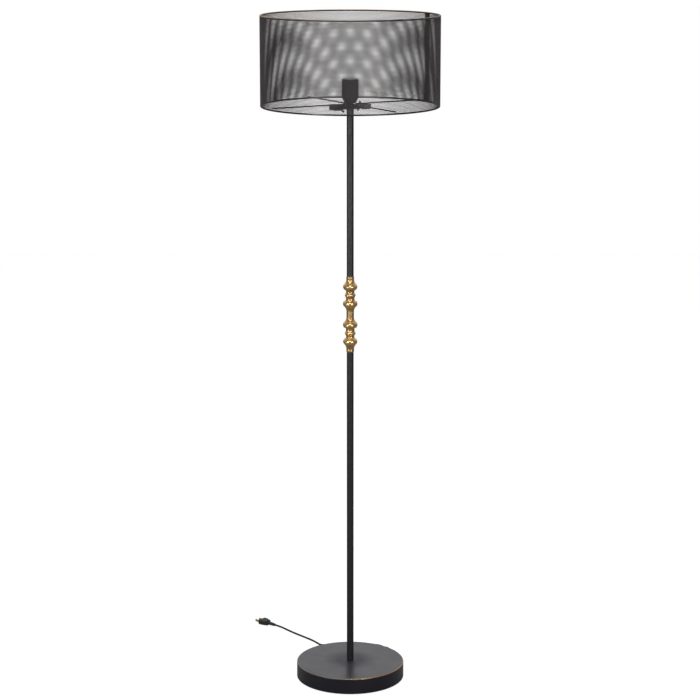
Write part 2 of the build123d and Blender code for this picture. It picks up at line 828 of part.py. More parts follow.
# From the grommet's tail the cord turns left, behind the base, and comes down to the hank.
hank_low = cord_h / 2 + tie_t + slide_gap
hank_high = hank_low + cord_h + hank_gap
hank_step = (cord_w + hank_gap) / 2
hank_far = hank_mid + (hank_runs // 2) * hank_step
hank_start = (hank_x + hank_half + hank_end, hank_y + hank_far, hank_low)
hank_stop = (hank_x - hank_half - hank_end, hank_y + hank_far, hank_high)
cord_lead_route = [
    lead_route[0],
    (94.2, out[1] / out[0] * 94.2, grommet_z),
    (94.8, 161.0, 8.6),
    (87.2, 175.1, 5.6),
    (73.5, hank_start[1], hank_low),
    hank_start,
]
lead_radii = corner_radii(cord_lead_route)
print("cord_lead radii:", [round(r, 1) for r in lead_radii])
with BuildPart() as cord_lead:
    with BuildLine() as cord_lead_line:
        FilletPolyline(*cord_lead_route, radius=lead_radii)
    with BuildSketch(Plane(origin=lead_route[0], x_dir=(0, 0, 1), z_dir=out)):
        Rectangle(cord_h, cord_w)
    sweep()
check_tube("cord_lead", cord_lead.part, cord_lead_line.wire().length)
cord_lead.part.label = "cord_lead"
export_step(cord_lead.part, "parts/cord_lead.step")


# The hank: nine runs in a flat oval, five below and four above, drawn in at the tie.
def run_offset(index):
    """Distance of one run from the hank's long axis."""
    return hank_mid + hank_step * abs(index - hank_runs // 2)


def hank_points():
    """Corner list of the hank: (point, heading) where each arc or line starts and ends."""
    middle = hank_runs // 2
    points = [(Vector(*hank_start), Vector(-1, 0, 0))]
    for k in range(hank_runs):
        side = 1 if k % 2 == 0 else -1  # far runs go left, near runs go right
        wide = run_offset(k)
        narrow = wide - hank_draw
        z_in = hank_low if k <= middle else hank_high
        z_out = hank_low if k < middle else hank_high
        heading = Vector(-side, 0, 0)
        stations = [(side * hank_half, wide, z_in), (side * tie_at, narrow, (z_in + z_out) / 2)]
        stations += [(-side * tie_at, narrow, (z_in + z_out) / 2), (-side * hank_half, wide, z_out)]
        for x, y, z in stations:
            points.append((Vector(hank_x + x, hank_y + side * y, z), heading))
        if k < hank_runs - 1:
            turn_r = (wide + run_offset(k + 1)) / 2
            tip = Vector(hank_x - side * (hank_half + turn_r), hank_y + side * (wide - turn_r), z_out)
            points.append((tip, Vector(0, -side, 0)))
    points.append((Vector(*hank_stop), Vector(-1, 0, 0)))
    return points


def arc_end_heading(start, end, heading):
    """Heading at the end of the arc that leaves start along heading and reaches end."""
    chord = (end - start).normalized()
    return chord * (2 * chord.dot(heading)) - heading


tie_at = tie_w / 2 + 2.0
with BuildPart() as cord_hank:
    with BuildLine() as hank_line:
        corners = hank_points()
        for (start, heading), (end, next_heading) in zip(corners, corners[1:]):
            if (end - start).cross(heading).length < 1e-6:
                Line(start, end)
            elif heading.dot(next_heading) > 0.5:  # an S-curve in two arcs
                middle_point = (start + end) / 2
                TangentArc(start, middle_point, tangent=heading)
                TangentArc(middle_point, end, tangent=arc_end_heading(start, middle_point, heading))
            else:  # a quarter turn
                TangentArc(start, end, tangent=heading)
    with BuildSketch(Plane(origin=hank_start, x_dir=(0, 0, 1), z_dir=(-1, 0, 0))):
        Rectangle(cord_h, cord_w)
    sweep()
hank_wire = hank_line.wire()
check_tube("cord_hank", cord_hank.part, hank_wire.length)
samples = [hank_wire.position_at(i / 1400) for i in range(1401)]
step = hank_wire.length / 1400
apart = int(3 * cord_h / step) + 1
# turns side by side are apart in plan, and turns one above the other in height
least = min(
    max(hypot(a.X - b.X, a.Y - b.Y) - cord_w, abs(a.Z - b.Z) - cord_h)
    for i, a in enumerate(samples)
    for b in samples[i + apart :]
)
print(f"cord_hank: least gap between turns {least:.3f}")
cord_hank.part.label = "cord_hank"
export_step(cord_hank.part, "parts/cord_hank.step")

# The tie: a closed flat band round the drawn-in runs, lying on the floor
near_in = run_offset(1) - hank_draw + cord_w / 2 + tie_gap
far_in = run_offset(0) - hank_draw + cord_w / 2 + tie_gap
tie_in_h = hank_high + cord_h / 2 + tie_gap - tie_t
with BuildPart() as hank_tie:
    tie_mid = (far_in - near_in) / 2
    with BuildSketch(
        Plane(origin=(hank_x, hank_y + tie_mid, tie_t + tie_in_h / 2), x_dir=(0, 1, 0), z_dir=(1, 0, 0))
    ):
        RectangleRounded(near_in + far_in + 2 * tie_t, tie_in_h + 2 * tie_t, 2 * tie_t)
        RectangleRounded(near_in + far_in, tie_in_h, tie_gap, mode=Mode.SUBTRACT)
    extrude(amount=tie_w / 2, both=True)
hank_tie.part.label = "hank_tie"
export_step(hank_tie.part, "parts/hank_tie.step")

# From the hank the cord comes down to the floor and wanders away to the back left.
plug_z = plug_t / 2
cord_run_route = [
    hank_stop,
    (-53.0, hank_stop[1], hank_high),
    (-64.2, 187.4, 7.0),
    (-72.9, 195.7, 4.2),
    (-78.8, 208.4, 2.7),
    (-91.0, 229.5, 2.55),
    (-113.5, 256.0, 2.55),
    (-139.0, 284.5, 2.55),
    (-159.5, 309.0, 3.1),
    (-176.0, 323.8, plug_z),
    (-192.0, 338.2, plug_z),
]
run_radii = corner_radii(cord_run_route)
print("cord_run radii:", [round(r, 1) for r in run_radii])
with BuildPart() as cord_run:
    with BuildLine() as cord_run_line:
        FilletPolyline(*cord_run_route, radius=run_radii)
    with BuildSketch(Plane(origin=hank_stop, x_dir=(0, 0, 1), z_dir=(-1, 0, 0))):
        Rectangle(cord_h, cord_w)
    sweep()
check_tube("cord_run", cord_run.part, cord_run_line.wire().length)
cord_run.part.label = "cord_run"
export_step(cord_run.part, "parts/cord_run.step")
free = cord_lead_line.wire().length + hank_wire.length + cord_run_line.wire().length
print(f"free cord: {free:.0f}")

# ---------------------------------------------------------------- plug
# In line with the cord's last run: a tapered tail, a flat moulded body and two flat blades
plug_dir = (Vector(*cord_run_route[-1]) - Vector(*cord_run_route[-2])).normalized()
plug_plane = Plane(origin=cord_run_route[-1], x_dir=(-plug_dir.Y, plug_dir.X, 0), z_dir=plug_dir)
with BuildPart() as plug_body:
    with BuildSketch(plug_plane):
        Circle(lead_bore_r + 0.6)
    with BuildSketch(plug_plane.offset(plug_tail)):
        Circle(plug_tail_r)
    loft()
    with BuildSketch(plug_plane.offset(plug_tail)):
        RectangleRounded(plug_w * 0.6, plug_t, 2.5)
    with BuildSketch(plug_plane.offset(plug_tail + plug_l * 0.6)):
        RectangleRounded(plug_w, plug_t, 2.5)
    loft()
    with BuildSketch(plug_plane.offset(plug_tail + plug_l * 0.6)):
        RectangleRounded(plug_w, plug_t, 2.5)
    extrude(amount=plug_l * 0.4)
    with BuildSketch(plug_plane.offset(plug_tail + plug_l)):
        with Locations((-blade_span / 2, 0), (blade_span / 2, 0)):
            Rectangle(blade_t + 2 * thread_gap, blade_w + 2 * thread_gap)
    extrude(amount=-blade_root, mode=Mode.SUBTRACT)
plug_body.part.label = "plug_body"
export_step(plug_body.part, "parts/plug_body.step")

with BuildPart() as plug_blades:
    with BuildSketch(plug_plane.offset(plug_tail + plug_l - blade_root)):
        with Locations((-blade_span / 2, 0), (blade_span / 2, 0)):
            Rectangle(blade_t, blade_w)
    extrude(amount=blade_root + blade_l)
    tips = plug_blades.edges().filter_by(Axis(origin=(0, 0, 0), direction=plug_plane.x_dir))
    chamfer(tips.sort_by(Axis(origin=(0, 0, 0), direction=plug_dir))[-4:], length=blade_t / 2.2)
plug_blades.part.label = "plug_blades"
export_step(plug_blades.part, "parts/plug_blades.step")

print(f"overall height {high_rim_z + ring_wire_r:.1f}, base {2 * base_r:.0f}, shade {2 * shade_r:.1f}")
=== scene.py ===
"""Photographic scene of a floor lamp with a perforated drum shade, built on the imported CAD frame.

Every object is in metres, in the CAD's own frame: the origin is on the floor on the pole's axis, +Z is up and
the front faces -Y. Sizes are written in millimetres, and places come from the frame where they can.
"""

import logging
import math
from collections.abc import Callable
from dataclasses import dataclass
from enum import Enum
from functools import cache

import bmesh
import bpy
from bpy.types import Curve, Material, Mesh, Node, NodeTree, Object
from bpy.types import NodeSocket as Socket
from mathutils import Matrix, Vector

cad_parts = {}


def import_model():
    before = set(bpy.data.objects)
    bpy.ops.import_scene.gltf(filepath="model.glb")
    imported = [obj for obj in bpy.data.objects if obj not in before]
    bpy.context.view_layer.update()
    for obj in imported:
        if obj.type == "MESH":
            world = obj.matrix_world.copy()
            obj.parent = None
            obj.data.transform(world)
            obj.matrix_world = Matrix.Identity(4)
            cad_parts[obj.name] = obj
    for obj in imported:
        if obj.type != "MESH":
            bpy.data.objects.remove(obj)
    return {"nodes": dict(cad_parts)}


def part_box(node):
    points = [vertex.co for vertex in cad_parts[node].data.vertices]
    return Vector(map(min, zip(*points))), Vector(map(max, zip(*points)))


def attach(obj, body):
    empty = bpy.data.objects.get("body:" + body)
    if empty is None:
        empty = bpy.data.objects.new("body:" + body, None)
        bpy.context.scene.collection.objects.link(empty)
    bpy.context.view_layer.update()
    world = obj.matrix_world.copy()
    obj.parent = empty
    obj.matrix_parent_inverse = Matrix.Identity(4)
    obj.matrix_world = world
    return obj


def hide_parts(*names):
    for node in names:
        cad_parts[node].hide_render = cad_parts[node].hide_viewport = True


LOG = logging.getLogger("scene")
MM = 0.001
Value = Socket | float | tuple


class Body(Enum):
    """The CAD bodies that pieces ride on."""

    STAND = "stand"
    LEFT_SCREW = "left_wing_screw"
    RIGHT_SCREW = "right_wing_screw"
    TONGUE = "contact_tongue"


class Rim(Enum):
    """The two edges of the shade. The value is the way its hem rolls: up or down."""

    BOTTOM = -1
    TOP = 1


# --- finishes
@dataclass(frozen=True)
class Finish:
    """A surface with mottled colour, uneven gloss and a fine relief. Its name is also its pieces' slot.

    Colours are linear. Mottle and grain are cells per metre, and relief is the height of the bumps in metres.
    The base, the column and the hems are made from theirs. The other pieces wear the frame's material of the
    slot, see plain().
    """

    name: str
    colour: tuple
    second: tuple
    metallic: float = 0.0
    roughness: float = 0.4
    uneven: float = 0.08
    mottle: float = 60.0
    grain: float = 900.0
    relief: float = 4e-5
    sheen: float = 0.0


SATIN_BLACK = Finish(
    "pole_black", (0.007, 0.007, 0.009), (0.010, 0.010, 0.012), roughness=0.2, uneven=0.04, mottle=25, relief=6e-6
)
BASE_BLACK = Finish("base_black", (0.008, 0.007, 0.016), (0.012, 0.010, 0.021), roughness=0.34, mottle=14)
BRACKET_BLACK = Finish("bracket_black", (0.012, 0.011, 0.012), (0.022, 0.019, 0.019), roughness=0.42, mottle=80)
SHADE_BRONZE = Finish(
    "shade_bronze", (0.046, 0.033, 0.041), (0.062, 0.045, 0.053), metallic=0.35, roughness=0.45, mottle=35, grain=1500
)
HEM_BRONZE = Finish("hem_bronze", (0.022, 0.019, 0.020), (0.045, 0.035, 0.032), metallic=0.3, mottle=35, grain=1500)
ANTIQUE_GOLD = Finish(
    "antique_gold", (0.80, 0.53, 0.23), (0.64, 0.39, 0.16), metallic=0.9, roughness=0.29, mottle=110, relief=1e-5
)
HOLDER_BLACK = Finish(
    "holder_black", (0.012, 0.011, 0.013), (0.018, 0.016, 0.019), roughness=0.26, mottle=150, relief=1e-5
)
HOLDER_CORE = Finish("holder_core", (0.020, 0.016, 0.013), (0.032, 0.025, 0.019), roughness=0.5, mottle=240)
BRASS = Finish(
    "contact_brass", (0.74, 0.52, 0.22), (0.60, 0.39, 0.14), metallic=1.0, roughness=0.28, mottle=200, grain=2500
)
ZINC_STEEL = Finish(
    "zinc_steel", (0.52, 0.51, 0.47), (0.40, 0.38, 0.33), metallic=1.0, roughness=0.34, mottle=150, grain=2500
)
CAST_IRON = Finish(
    "iron", (0.060, 0.056, 0.052), (0.110, 0.080, 0.060), metallic=0.6, roughness=0.62, mottle=70, relief=3e-4
)
FELT = Finish("felt", (0.012, 0.012, 0.013), (0.026, 0.026, 0.028), roughness=0.95, grain=2600, relief=3e-4, sheen=0.5)
HARDBOARD = Finish("hardboard", (0.16, 0.085, 0.040), (0.10, 0.050, 0.022), roughness=0.7, mottle=180, relief=1e-4)
RUBBER = Finish("grommet_rubber", (0.012, 0.012, 0.012), (0.020, 0.020, 0.020), roughness=0.55, mottle=300)
CORD_BLACK = Finish("cord_black", (0.012, 0.012, 0.013), (0.020, 0.019, 0.020), roughness=0.42, mottle=120)
TIE_BLACK = Finish("tie_black", (0.014, 0.014, 0.015), (0.030, 0.029, 0.030), roughness=0.8, grain=2200, sheen=0.3)
PLUG_BLACK = Finish("plug_black", (0.012, 0.012, 0.013), (0.019, 0.018, 0.019), roughness=0.38, mottle=200)

# colours of the wear, and the grey of a painted highlight, linear
RUBBED_GOLD = (0.46, 0.27, 0.12)
BROWNED = (0.12, 0.068, 0.040)
PATINA = (0.070, 0.026, 0.009)
# grey of a painted highlight along the base cover's rounded edge
PAINTED_EDGE_HIGHLIGHT = (0.26, 0.23, 0.21)


# --- nodes
class Wiring:
    """Short calls for laying out the nodes of one tree. A value is a socket, a number or a colour."""

    def __init__(self, tree: NodeTree) -> None:
        """Start on the tree, emptied."""
        self.tree = tree
        tree.nodes.clear()

    def node(self, kind: str, **settings: object) -> Node:
        """Add a node.

        Args:
            kind: its type name.
            settings: attributes to set on it.

        Returns:
            The new node.
        """
        made = self.tree.nodes.new(kind)
        for key, value in settings.items():
            setattr(made, key, value)
        return made

    def feed(self, socket: Socket, value: Value) -> None:
        """Link a value to an input, or set it where it is a constant.

        Args:
            socket: the input.
            value: what goes in.
        """
        if isinstance(value, Socket):
            self.tree.links.new(value, socket)
        else:
            socket.default_value = (*value, 1.0) if socket.type == "RGBA" else value

    def step(self, kind: str, settings: dict, *values: Value, **named: Value) -> Socket:
        """Add a node and feed its inputs.

        Args:
            kind: its type name.
            settings: attributes to set on it.
            values: what its first inputs get, in order.
            named: what other inputs get, by name with _ for a space.

        Returns:
            Its first output.
        """
        made = self.node(kind, **settings)
        for socket, value in zip(made.inputs, values):
            self.feed(socket, value)
        for name, value in named.items():
            self.feed(made.inputs[name.replace("_", " ")], value)
        return made.outputs[0]

    def math(self, operation: str, a: Value, b: Value = 0.0) -> Socket:
        """One arithmetic step on two values."""
        return self.step("ShaderNodeMath", {"operation": operation}, a, b)

    def product(self, first: Value, *others: Value) -> Socket:
        """Several values multiplied together."""
        for other in others:
            first = self.math("MULTIPLY", first, other)
        return first

    def ramp(self, value: Value, start: Value, end: Value, low: Value = 0.0, high: Value = 1.0) -> Socket:
        """Map start to end onto low to high, held beyond both ends."""
        return self.step("ShaderNodeMapRange", {"clamp": True}, value, start, end, low, high)

    def noise(self, place: Socket, scale: Value, detail: float) -> Socket:
        """Noise at a place, around 0.5."""
        return self.step("ShaderNodeTexNoise", {}, Vector=place, Scale=scale, Detail=detail)

    def mix(self, first: Value, second: Value, amount: Socket, kind: str = "FLOAT") -> Socket:
        """Mix two numbers or two colours.

        Args:
            first, second: what shows at amount 0 and at amount 1.
            amount: the share of the second.
            kind: FLOAT for numbers, RGBA for colours.

        Returns:
            The mixture.
        """
        made = self.node("ShaderNodeMix", data_type=kind)
        socket_type = "VALUE" if kind == "FLOAT" else kind
        ends = [s for s in made.inputs if s.type == socket_type and s.name in "AB"]
        for socket, value in zip((made.inputs["Factor"], *ends), (amount, first, second)):
            self.feed(socket, value)
        return next(s for s in made.outputs if s.type == socket_type)

    def vector(self, x: Value, y: Value, z: Value) -> Socket:
        """The vector of three values."""
        return self.step("ShaderNodeCombineXYZ", {}, x, y, z)

    def parts(self, vector: Socket) -> list[Socket]:
        """X, Y and Z of a vector."""
        return list(self.step("ShaderNodeSeparateXYZ", {}, vector).node.outputs)

    def use(self, tree: NodeTree, **values: Value) -> dict[str, Socket]:
        """Place a node group, feed its inputs by name, and return its outputs by name."""
        placed = self.step("ShaderNodeGroup", {"node_tree": tree}, **values).node
        return {s.name: s for s in placed.outputs}


KINDS = {"v": "Vector", "c": "Color", "f": "Float", "i": "Int", "o": "Object", "m": "Material", "g": "Geometry"}


def node_group(name: str, inputs: str, outputs: str, kind: str = "ShaderNodeTree") -> tuple[Wiring, dict, Node]:
    """Start a node group.

    Args:
        name: its name.
        inputs, outputs: its sockets as words kind:name, where kind is a key of KINDS and _ is a space.
        kind: the type of its tree.

    Returns:
        Its wiring, its input sockets by name and its output node.
    """
    tree = bpy.data.node_groups.new(name, kind)
    wiring = Wiring(tree)
    for way, words in (("INPUT", inputs), ("OUTPUT", outputs)):
        for word in words.split():
            letter, label = word.replace("_", " ").split(":")
            tree.interface.new_socket(label, in_out=way, socket_type="NodeSocket" + KINDS[letter])
    given = {s.name: s for s in wiring.node("NodeGroupInput").outputs}
    return wiring, given, wiring.node("NodeGroupOutput")


@cache
def uneven_group() -> NodeTree:
    """The look that every finish shares: mottled colour, uneven gloss and a fine relief.

    Returns:
        The group, made once.
    """
    inputs = "v:Place c:Colour c:Second f:Mottle f:Rough_Low f:Rough_High f:Grain f:Relief"
    w, given, out = node_group("uneven_finish", inputs, "c:Colour f:Roughness v:Normal")
    clouds = w.ramp(w.noise(given["Place"], given["Mottle"], 4.0), 0.35, 0.68)
    w.feed(out.inputs["Colour"], w.mix(given["Colour"], given["Second"], clouds, "RGBA"))
    gloss = w.noise(given["Place"], w.product(given["Mottle"], 2.3), 3.0)
    w.feed(out.inputs["Roughness"], w.ramp(gloss, 0.25, 0.75, given["Rough Low"], given["Rough High"]))
    grain = w.noise(given["Place"], given["Grain"], 2.0)
    w.feed(out.inputs["Normal"], w.step("ShaderNodeBump", {}, Distance=given["Relief"], Height=grain))
    return w.tree


@cache
def worn_group() -> NodeTree:
    """Patches where a top coat is rubbed away. Level 0.5 covers half of the surface, and less covers more.

    Returns:
        The group, made once.
    """
    w, given, out = node_group("worn_patches", "v:Place f:Broad f:Fine f:Level", "f:Mask")
    broad = w.product(w.noise(given["Place"], given["Broad"], 3.0), 0.6)
    fine = w.product(w.noise(given["Place"], given["Fine"], 4.0), 0.4)
    level, blur = given["Level"], 0.07
    mask = w.ramp(w.math("ADD", broad, fine), w.math("SUBTRACT", level, blur), w.math("ADD", level, blur))
    w.feed(out.inputs["Mask"], mask)
    return w.tree


@cache
def axis_group() -> NodeTree:
    """X, Y and height of a place, and its distance from the pole's axis.

    Returns:
        The group, made once.
    """
    w, given, out = node_group("about_the_axis", "v:Place", "f:X f:Y f:Height f:Radius")
    x, y, z = w.parts(given["Place"])
    radius = w.math("SQRT", w.math("ADD", w.product(x, x), w.product(y, y)))
    for socket, value in zip(out.inputs, (x, y, z, radius)):
        w.feed(socket, value)
    return w.tree


class Surface(Wiring):
    """A material under construction: a Principled shader fed by a Finish, with room for more layers."""

    def __init__(self, finish: Finish, name: str = "") -> None:
        """Start with the finish alone.

        Args:
            finish: the lowest layer.
            name: the material's name, where it isn't the finish's.
        """
        self.material = bpy.data.materials.new(name or finish.name)
        self.material.use_nodes = True
        super().__init__(self.material.node_tree)
        self.place = self.node("ShaderNodeTexCoord").outputs["Object"]
        made = self.use(
            uneven_group(),
            Place=self.place,
            Colour=finish.colour,
            Second=finish.second,
            Mottle=finish.mottle,
            Rough_Low=finish.roughness - finish.uneven / 2,
            Rough_High=finish.roughness + finish.uneven / 2,
            Grain=finish.grain,
            Relief=finish.relief,
        )
        self.colour, self.roughness, self.normal = made["Colour"], made["Roughness"], made["Normal"]
        self.metallic: Value = finish.metallic
        self.sheen = finish.sheen

    def layer(
        self, colour: tuple, amount: Socket, roughness: float | None = None, metallic: float | None = None
    ) -> None:
        """Lay a second finish over the first.

        Args:
            colour: its linear colour.
            amount: how much of it shows at each place, 0 to 1.
            roughness: its roughness, or None to keep what is below.
            metallic: its metallic value, or None to keep what is below.
        """
        self.colour = self.mix(self.colour, colour, amount, "RGBA")
        if roughness is not None:
            self.roughness = self.mix(self.roughness, roughness, amount)
        if metallic is not None:
            self.metallic = self.mix(self.metallic, metallic, amount)

    def worn(self, broad: float, fine: float, level: float) -> Socket:
        """Mask of worn patches: the scales of the patches and of their edges, and the level they start at."""
        return self.use(worn_group(), Place=self.place, Broad=broad, Fine=fine, Level=level)["Mask"]

    def about_axis(self) -> dict[str, Socket]:
        """X, Y, Height and Radius of the place."""
        return self.use(axis_group(), Place=self.place)

    def done(self) -> Material:
        """Connect the layers.

        Returns:
            The material.
        """
        shader = self.step(
            "ShaderNodeBsdfPrincipled",
            {},
            Base_Color=self.colour,
            Roughness=self.roughness,
            Metallic=self.metallic,
            Normal=self.normal,
            Sheen_Weight=self.sheen,
        )
        self.feed(self.node("ShaderNodeOutputMaterial").inputs["Surface"], shader)
        return self.material


def plain(finish: Finish) -> Material:
    """The frame's own material for a slot, or one made from the finish, once, where the frame has none."""
    return bpy.data.materials.get(finish.name) or Surface(finish).done()


def base_material(edge_r: float, top: float, edge_round: float) -> Material:
    """Black paint whose top edge has a grey painted highlight all round and is rubbed through to gold towards the
    right.

    Args:
        edge_r: the cover's radius.
        top: height of its flat top.
        edge_round: radius of its rounded edge.

    Returns:
        The material.
    """
    surface = Surface(BASE_BLACK)
    at = surface.about_axis()
    start, full = 0.80 * edge_round, 0.35 * edge_round
    outwards = surface.ramp(at["Radius"], edge_r - start, edge_r - full)
    edge = surface.product(outwards, surface.ramp(at["Height"], top - start, top - full))
    # painted highlight: grey laid all round the rounded top edge
    surface.layer(PAINTED_EDGE_HIGHLIGHT, surface.product(edge, 0.8), roughness=0.42)
    rightwards = surface.ramp(at["X"], -0.10, 0.04, 0.25, 1.0)
    rubbed = surface.product(edge, rightwards, surface.worn(9.0, 160.0, 0.49))
    surface.layer(RUBBED_GOLD, rubbed, roughness=0.36, metallic=0.9)
    dulled = surface.ramp(at["Radius"], 0.2 * edge_r, 0.5 * edge_r, 0.22, 0.0)
    surface.roughness = surface.math("ADD", surface.roughness, dulled)
    return surface.done()


def gold_material(slim: float, full: float) -> Material:
    """Antique gold with red-brown patina that stays in the hollows.

    Args:
        slim: radius at which the patina is fullest.
        full: radius at which it has gone.

    Returns:
        The material.
    """
    surface = Surface(ANTIQUE_GOLD)
    hollow = surface.ramp(surface.about_axis()["Radius"], slim, full, 0.50, 0.07)
    patches = surface.product(hollow, surface.ramp(surface.worn(260.0, 900.0, 0.48), 0.0, 1.0, 0.45, 1.0))
    specks = surface.product(surface.worn(700.0, 1400.0, 0.60), 0.3)
    surface.layer(PATINA, surface.math("MAXIMUM", patches, specks), roughness=0.5, metallic=0.35)
    return surface.done()


def hem_material(name: str, crest: float, gold: float) -> Material:
    """Bronze hem, browned near its crest and rubbed to gold along it, most of all at the back left.

    Args:
        name: the material's name.
        crest: height of the hem's outer end.
        gold: how much of the rub shows where most of it is, 0 to 1.

    Returns:
        The material.
    """
    surface = Surface(HEM_BRONZE, name)
    at = surface.about_axis()
    shown = surface.ramp(surface.math("SUBTRACT", at["Y"], at["X"]), -0.24, 0.10, 0.15 * gold, gold)
    below = surface.math("ABSOLUTE", surface.math("SUBTRACT", at["Height"], crest))
    browned = surface.product(surface.ramp(below, 1.0 * MM, 4.5 * MM, 1.0, 0.0), shown)
    surface.layer(BROWNED, browned, metallic=0.6)
    rubbed = surface.product(surface.ramp(below, 0.2 * MM, 1.3 * MM, 1.0, 0.0), surface.worn(11.0, 220.0, 0.47), shown)
    surface.layer(RUBBED_GOLD, rubbed, roughness=0.38, metallic=0.9)
    return surface.done()


# --- shapes
SMOOTH = math.radians(35)  # edges sharper than this stay sharp
GUARD = 0.4 * MM  # from the end of a long side to the point that guards it


def arc(start: tuple, middle: tuple, end: tuple, count: int = 10) -> list:
    """Points of the arc through three points of a plane, without its start.

    Args:
        start, middle, end: (x, y) pairs.
        count: how many equal parts the arc has.

    Returns:
        A list of count pairs, the last of them end.
    """
    a, b, c = Vector(start), Vector(middle), Vector(end)
    turn = 2 * ((b - a).x * (c - a).y - (b - a).y * (c - a).x)
    ab, ac = (b - a).length_squared, (c - a).length_squared
    centre = a + Vector(((c - a).y * ab - (b - a).y * ac, (b - a).x * ac - (c - a).x * ab)) / turn
    first = math.atan2(a.y - centre.y, a.x - centre.x)
    sweep = (math.atan2(c.y - centre.y, c.x - centre.x) - first) % math.tau
    if turn < 0:
        sweep -= math.tau
    radius = (a - centre).length
    angles = [first + sweep * i / count for i in range(1, count + 1)]
    return [(centre.x + radius * math.cos(t), centre.y + radius * math.sin(t)) for t in angles]


def corner(before: tuple, here: tuple, after: tuple, radius: float) -> list:
    """Points that round a corner of an outline.

    Args:
        before, here, after: the corner between its neighbours.
        radius: of the rounding.

    Returns:
        A list of (x, y) pairs.
    """
    point = Vector(here)
    back, on = (Vector(before) - point).normalized(), (Vector(after) - point).normalized()
    half = back.angle(on) / 2
    reach = radius / math.tan(half)
    start, end = point + back * reach, point + on * reach
    middle = point + (back + on).normalized() * (radius / math.sin(half) - radius)
    return [tuple(start), *arc(tuple(start), tuple(middle), tuple(end), 5)]


def outline(points: list) -> list:
    """A closed profile without its shorthands, and with a guard near each end of its long sides.

    The guards keep smooth shading from bending the light over a whole long side.

    Args:
        points: (x, y) pairs, of which some have a third number, the radius of their corner.

    Returns:
        A list of (x, y) pairs.
    """
    sharp = []
    for i, point in enumerate(points):
        before, after = points[i - 1][:2], points[(i + 1) % len(points)][:2]
        sharp += [point] if len(point) == 2 else corner(before, point[:2], after, point[2])
    made = []
    for start, end in zip(sharp, sharp[1:] + sharp[:1]):
        a, b = Vector(start), Vector(end)
        length = (b - a).length
        made.append(start)
        if length > 6 * GUARD:
            made += [tuple(a.lerp(b, GUARD / length)), tuple(b.lerp(a, GUARD / length))]
    return made


def above(foot: float, points: list) -> list:
    """A profile given in millimetres above a height in metres, with its corner radii, all in metres."""
    return [(x * MM, foot + z * MM, *(r * MM for r in rest)) for x, z, *rest in points]


def span(node: str, axis: int = 2) -> tuple:
    """Lowest and highest place of a CAD node along an axis."""
    low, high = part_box(node)
    return low[axis], high[axis]


def lying(height: float, angle: float) -> Matrix:
    """Matrix that lays the Z axis level at a height in metres, pointing along an angle in radians."""
    out = Vector((math.cos(angle), math.sin(angle), 0))
    return Matrix.Translation((0, 0, height)) @ out.to_track_quat("Z", "Y").to_matrix().to_4x4()


def in_scene(name: str, data: bpy.types.ID) -> Object:
    """A new object of the scene for a mesh, curve, camera or light."""
    made = bpy.data.objects.new(name, data)
    bpy.context.scene.collection.objects.link(made)
    return made


def smooth_object(name: str, mesh: Mesh, material: Material) -> Object:
    """An object for a mesh, smooth but for its sharp edges.

    Args:
        name: the object's name.
        mesh: the mesh.
        material: its only material.

    Returns:
        The object.
    """
    mesh.materials.clear()
    mesh.materials.append(material)
    mesh.polygons.foreach_set("use_smooth", [True] * len(mesh.polygons))
    mesh.set_sharp_from_angle(angle=SMOOTH)
    return in_scene(name, mesh)


def from_bmesh(name: str, bm: bmesh.types.BMesh, material: Material) -> Object:
    """Turn a bmesh into a smooth object with its faces outwards.

    Args:
        name: the object's name.
        bm: the bmesh, which is freed.
        material: its material.

    Returns:
        The object.
    """
    bmesh.ops.recalc_face_normals(bm, faces=bm.faces)
    mesh = bpy.data.meshes.new(name)
    bm.to_mesh(mesh)
    bm.free()
    return smooth_object(name, mesh, material)


def applied(made: Object, name: str) -> Mesh:
    """Apply an object's modifiers.

    Args:
        made: the object, which is then removed.
        name: the new mesh's name.

    Returns:
        The mesh.
    """
    bpy.context.view_layer.update()
    graph = bpy.context.evaluated_depsgraph_get()
    mesh = bpy.data.meshes.new_from_object(made.evaluated_get(graph), depsgraph=graph)
    mesh.name = name
    bpy.data.objects.remove(made)
    return mesh


def settle(made: Object, finish: Finish, *nodes: str, body: Body = Body.STAND) -> Object:
    """Let a finished piece ride on a body and stand for CAD nodes, which are hidden.

    Args:
        made: the piece.
        finish: not used.
        nodes: the CAD nodes.
        body: the body.

    Returns:
        The piece.
    """
    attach(made, body.value)
    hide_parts(*nodes)
    LOG.info("%s rides on %s and stands for %s", made.name, body.value, ", ".join(nodes))
    return made


def lathe(
    name: str,
    node: str,
    profile: list,
    finish: Finish,
    segments: int = 96,
    material: Material | None = None,
    at: Matrix | None = None,
    wave: Callable[[float, float, float], float] | None = None,
) -> None:
    """Turn a closed profile about an axis, as the piece that stands for a CAD node.

    Args:
        name: the piece's name.
        node: the CAD node.
        profile: (radius, height) pairs in metres, of which some have a corner radius.
        finish: its look where no material is given.
        segments: faces around.
        material: a material of its own.
        at: matrix that carries the Z axis to the piece's own axis.
        wave: function of radius, height and angle that gives the radius there.
    """
    bm = bmesh.new()
    rings = []
    for radius, height in outline(profile):
        if radius < 1e-7:
            rings.append([bm.verts.new((0, 0, height))] * segments)
            continue
        ring = []
        for i in range(segments):
            angle = math.tau * i / segments
            r = wave(radius, height, angle) if wave else radius
            ring.append(bm.verts.new((r * math.cos(angle), r * math.sin(angle), height)))
        rings.append(ring)
    for lower, upper in zip(rings, rings[1:] + rings[:1]):
        for i in range(segments):
            j = (i + 1) % segments
            face = list(dict.fromkeys((lower[i], lower[j], upper[j], upper[i])))
            if len(face) > 2:
                bm.faces.new(face)
    if at is not None:
        bm.transform(at)
    settle(from_bmesh(name, bm, material or plain(finish)), finish, node)


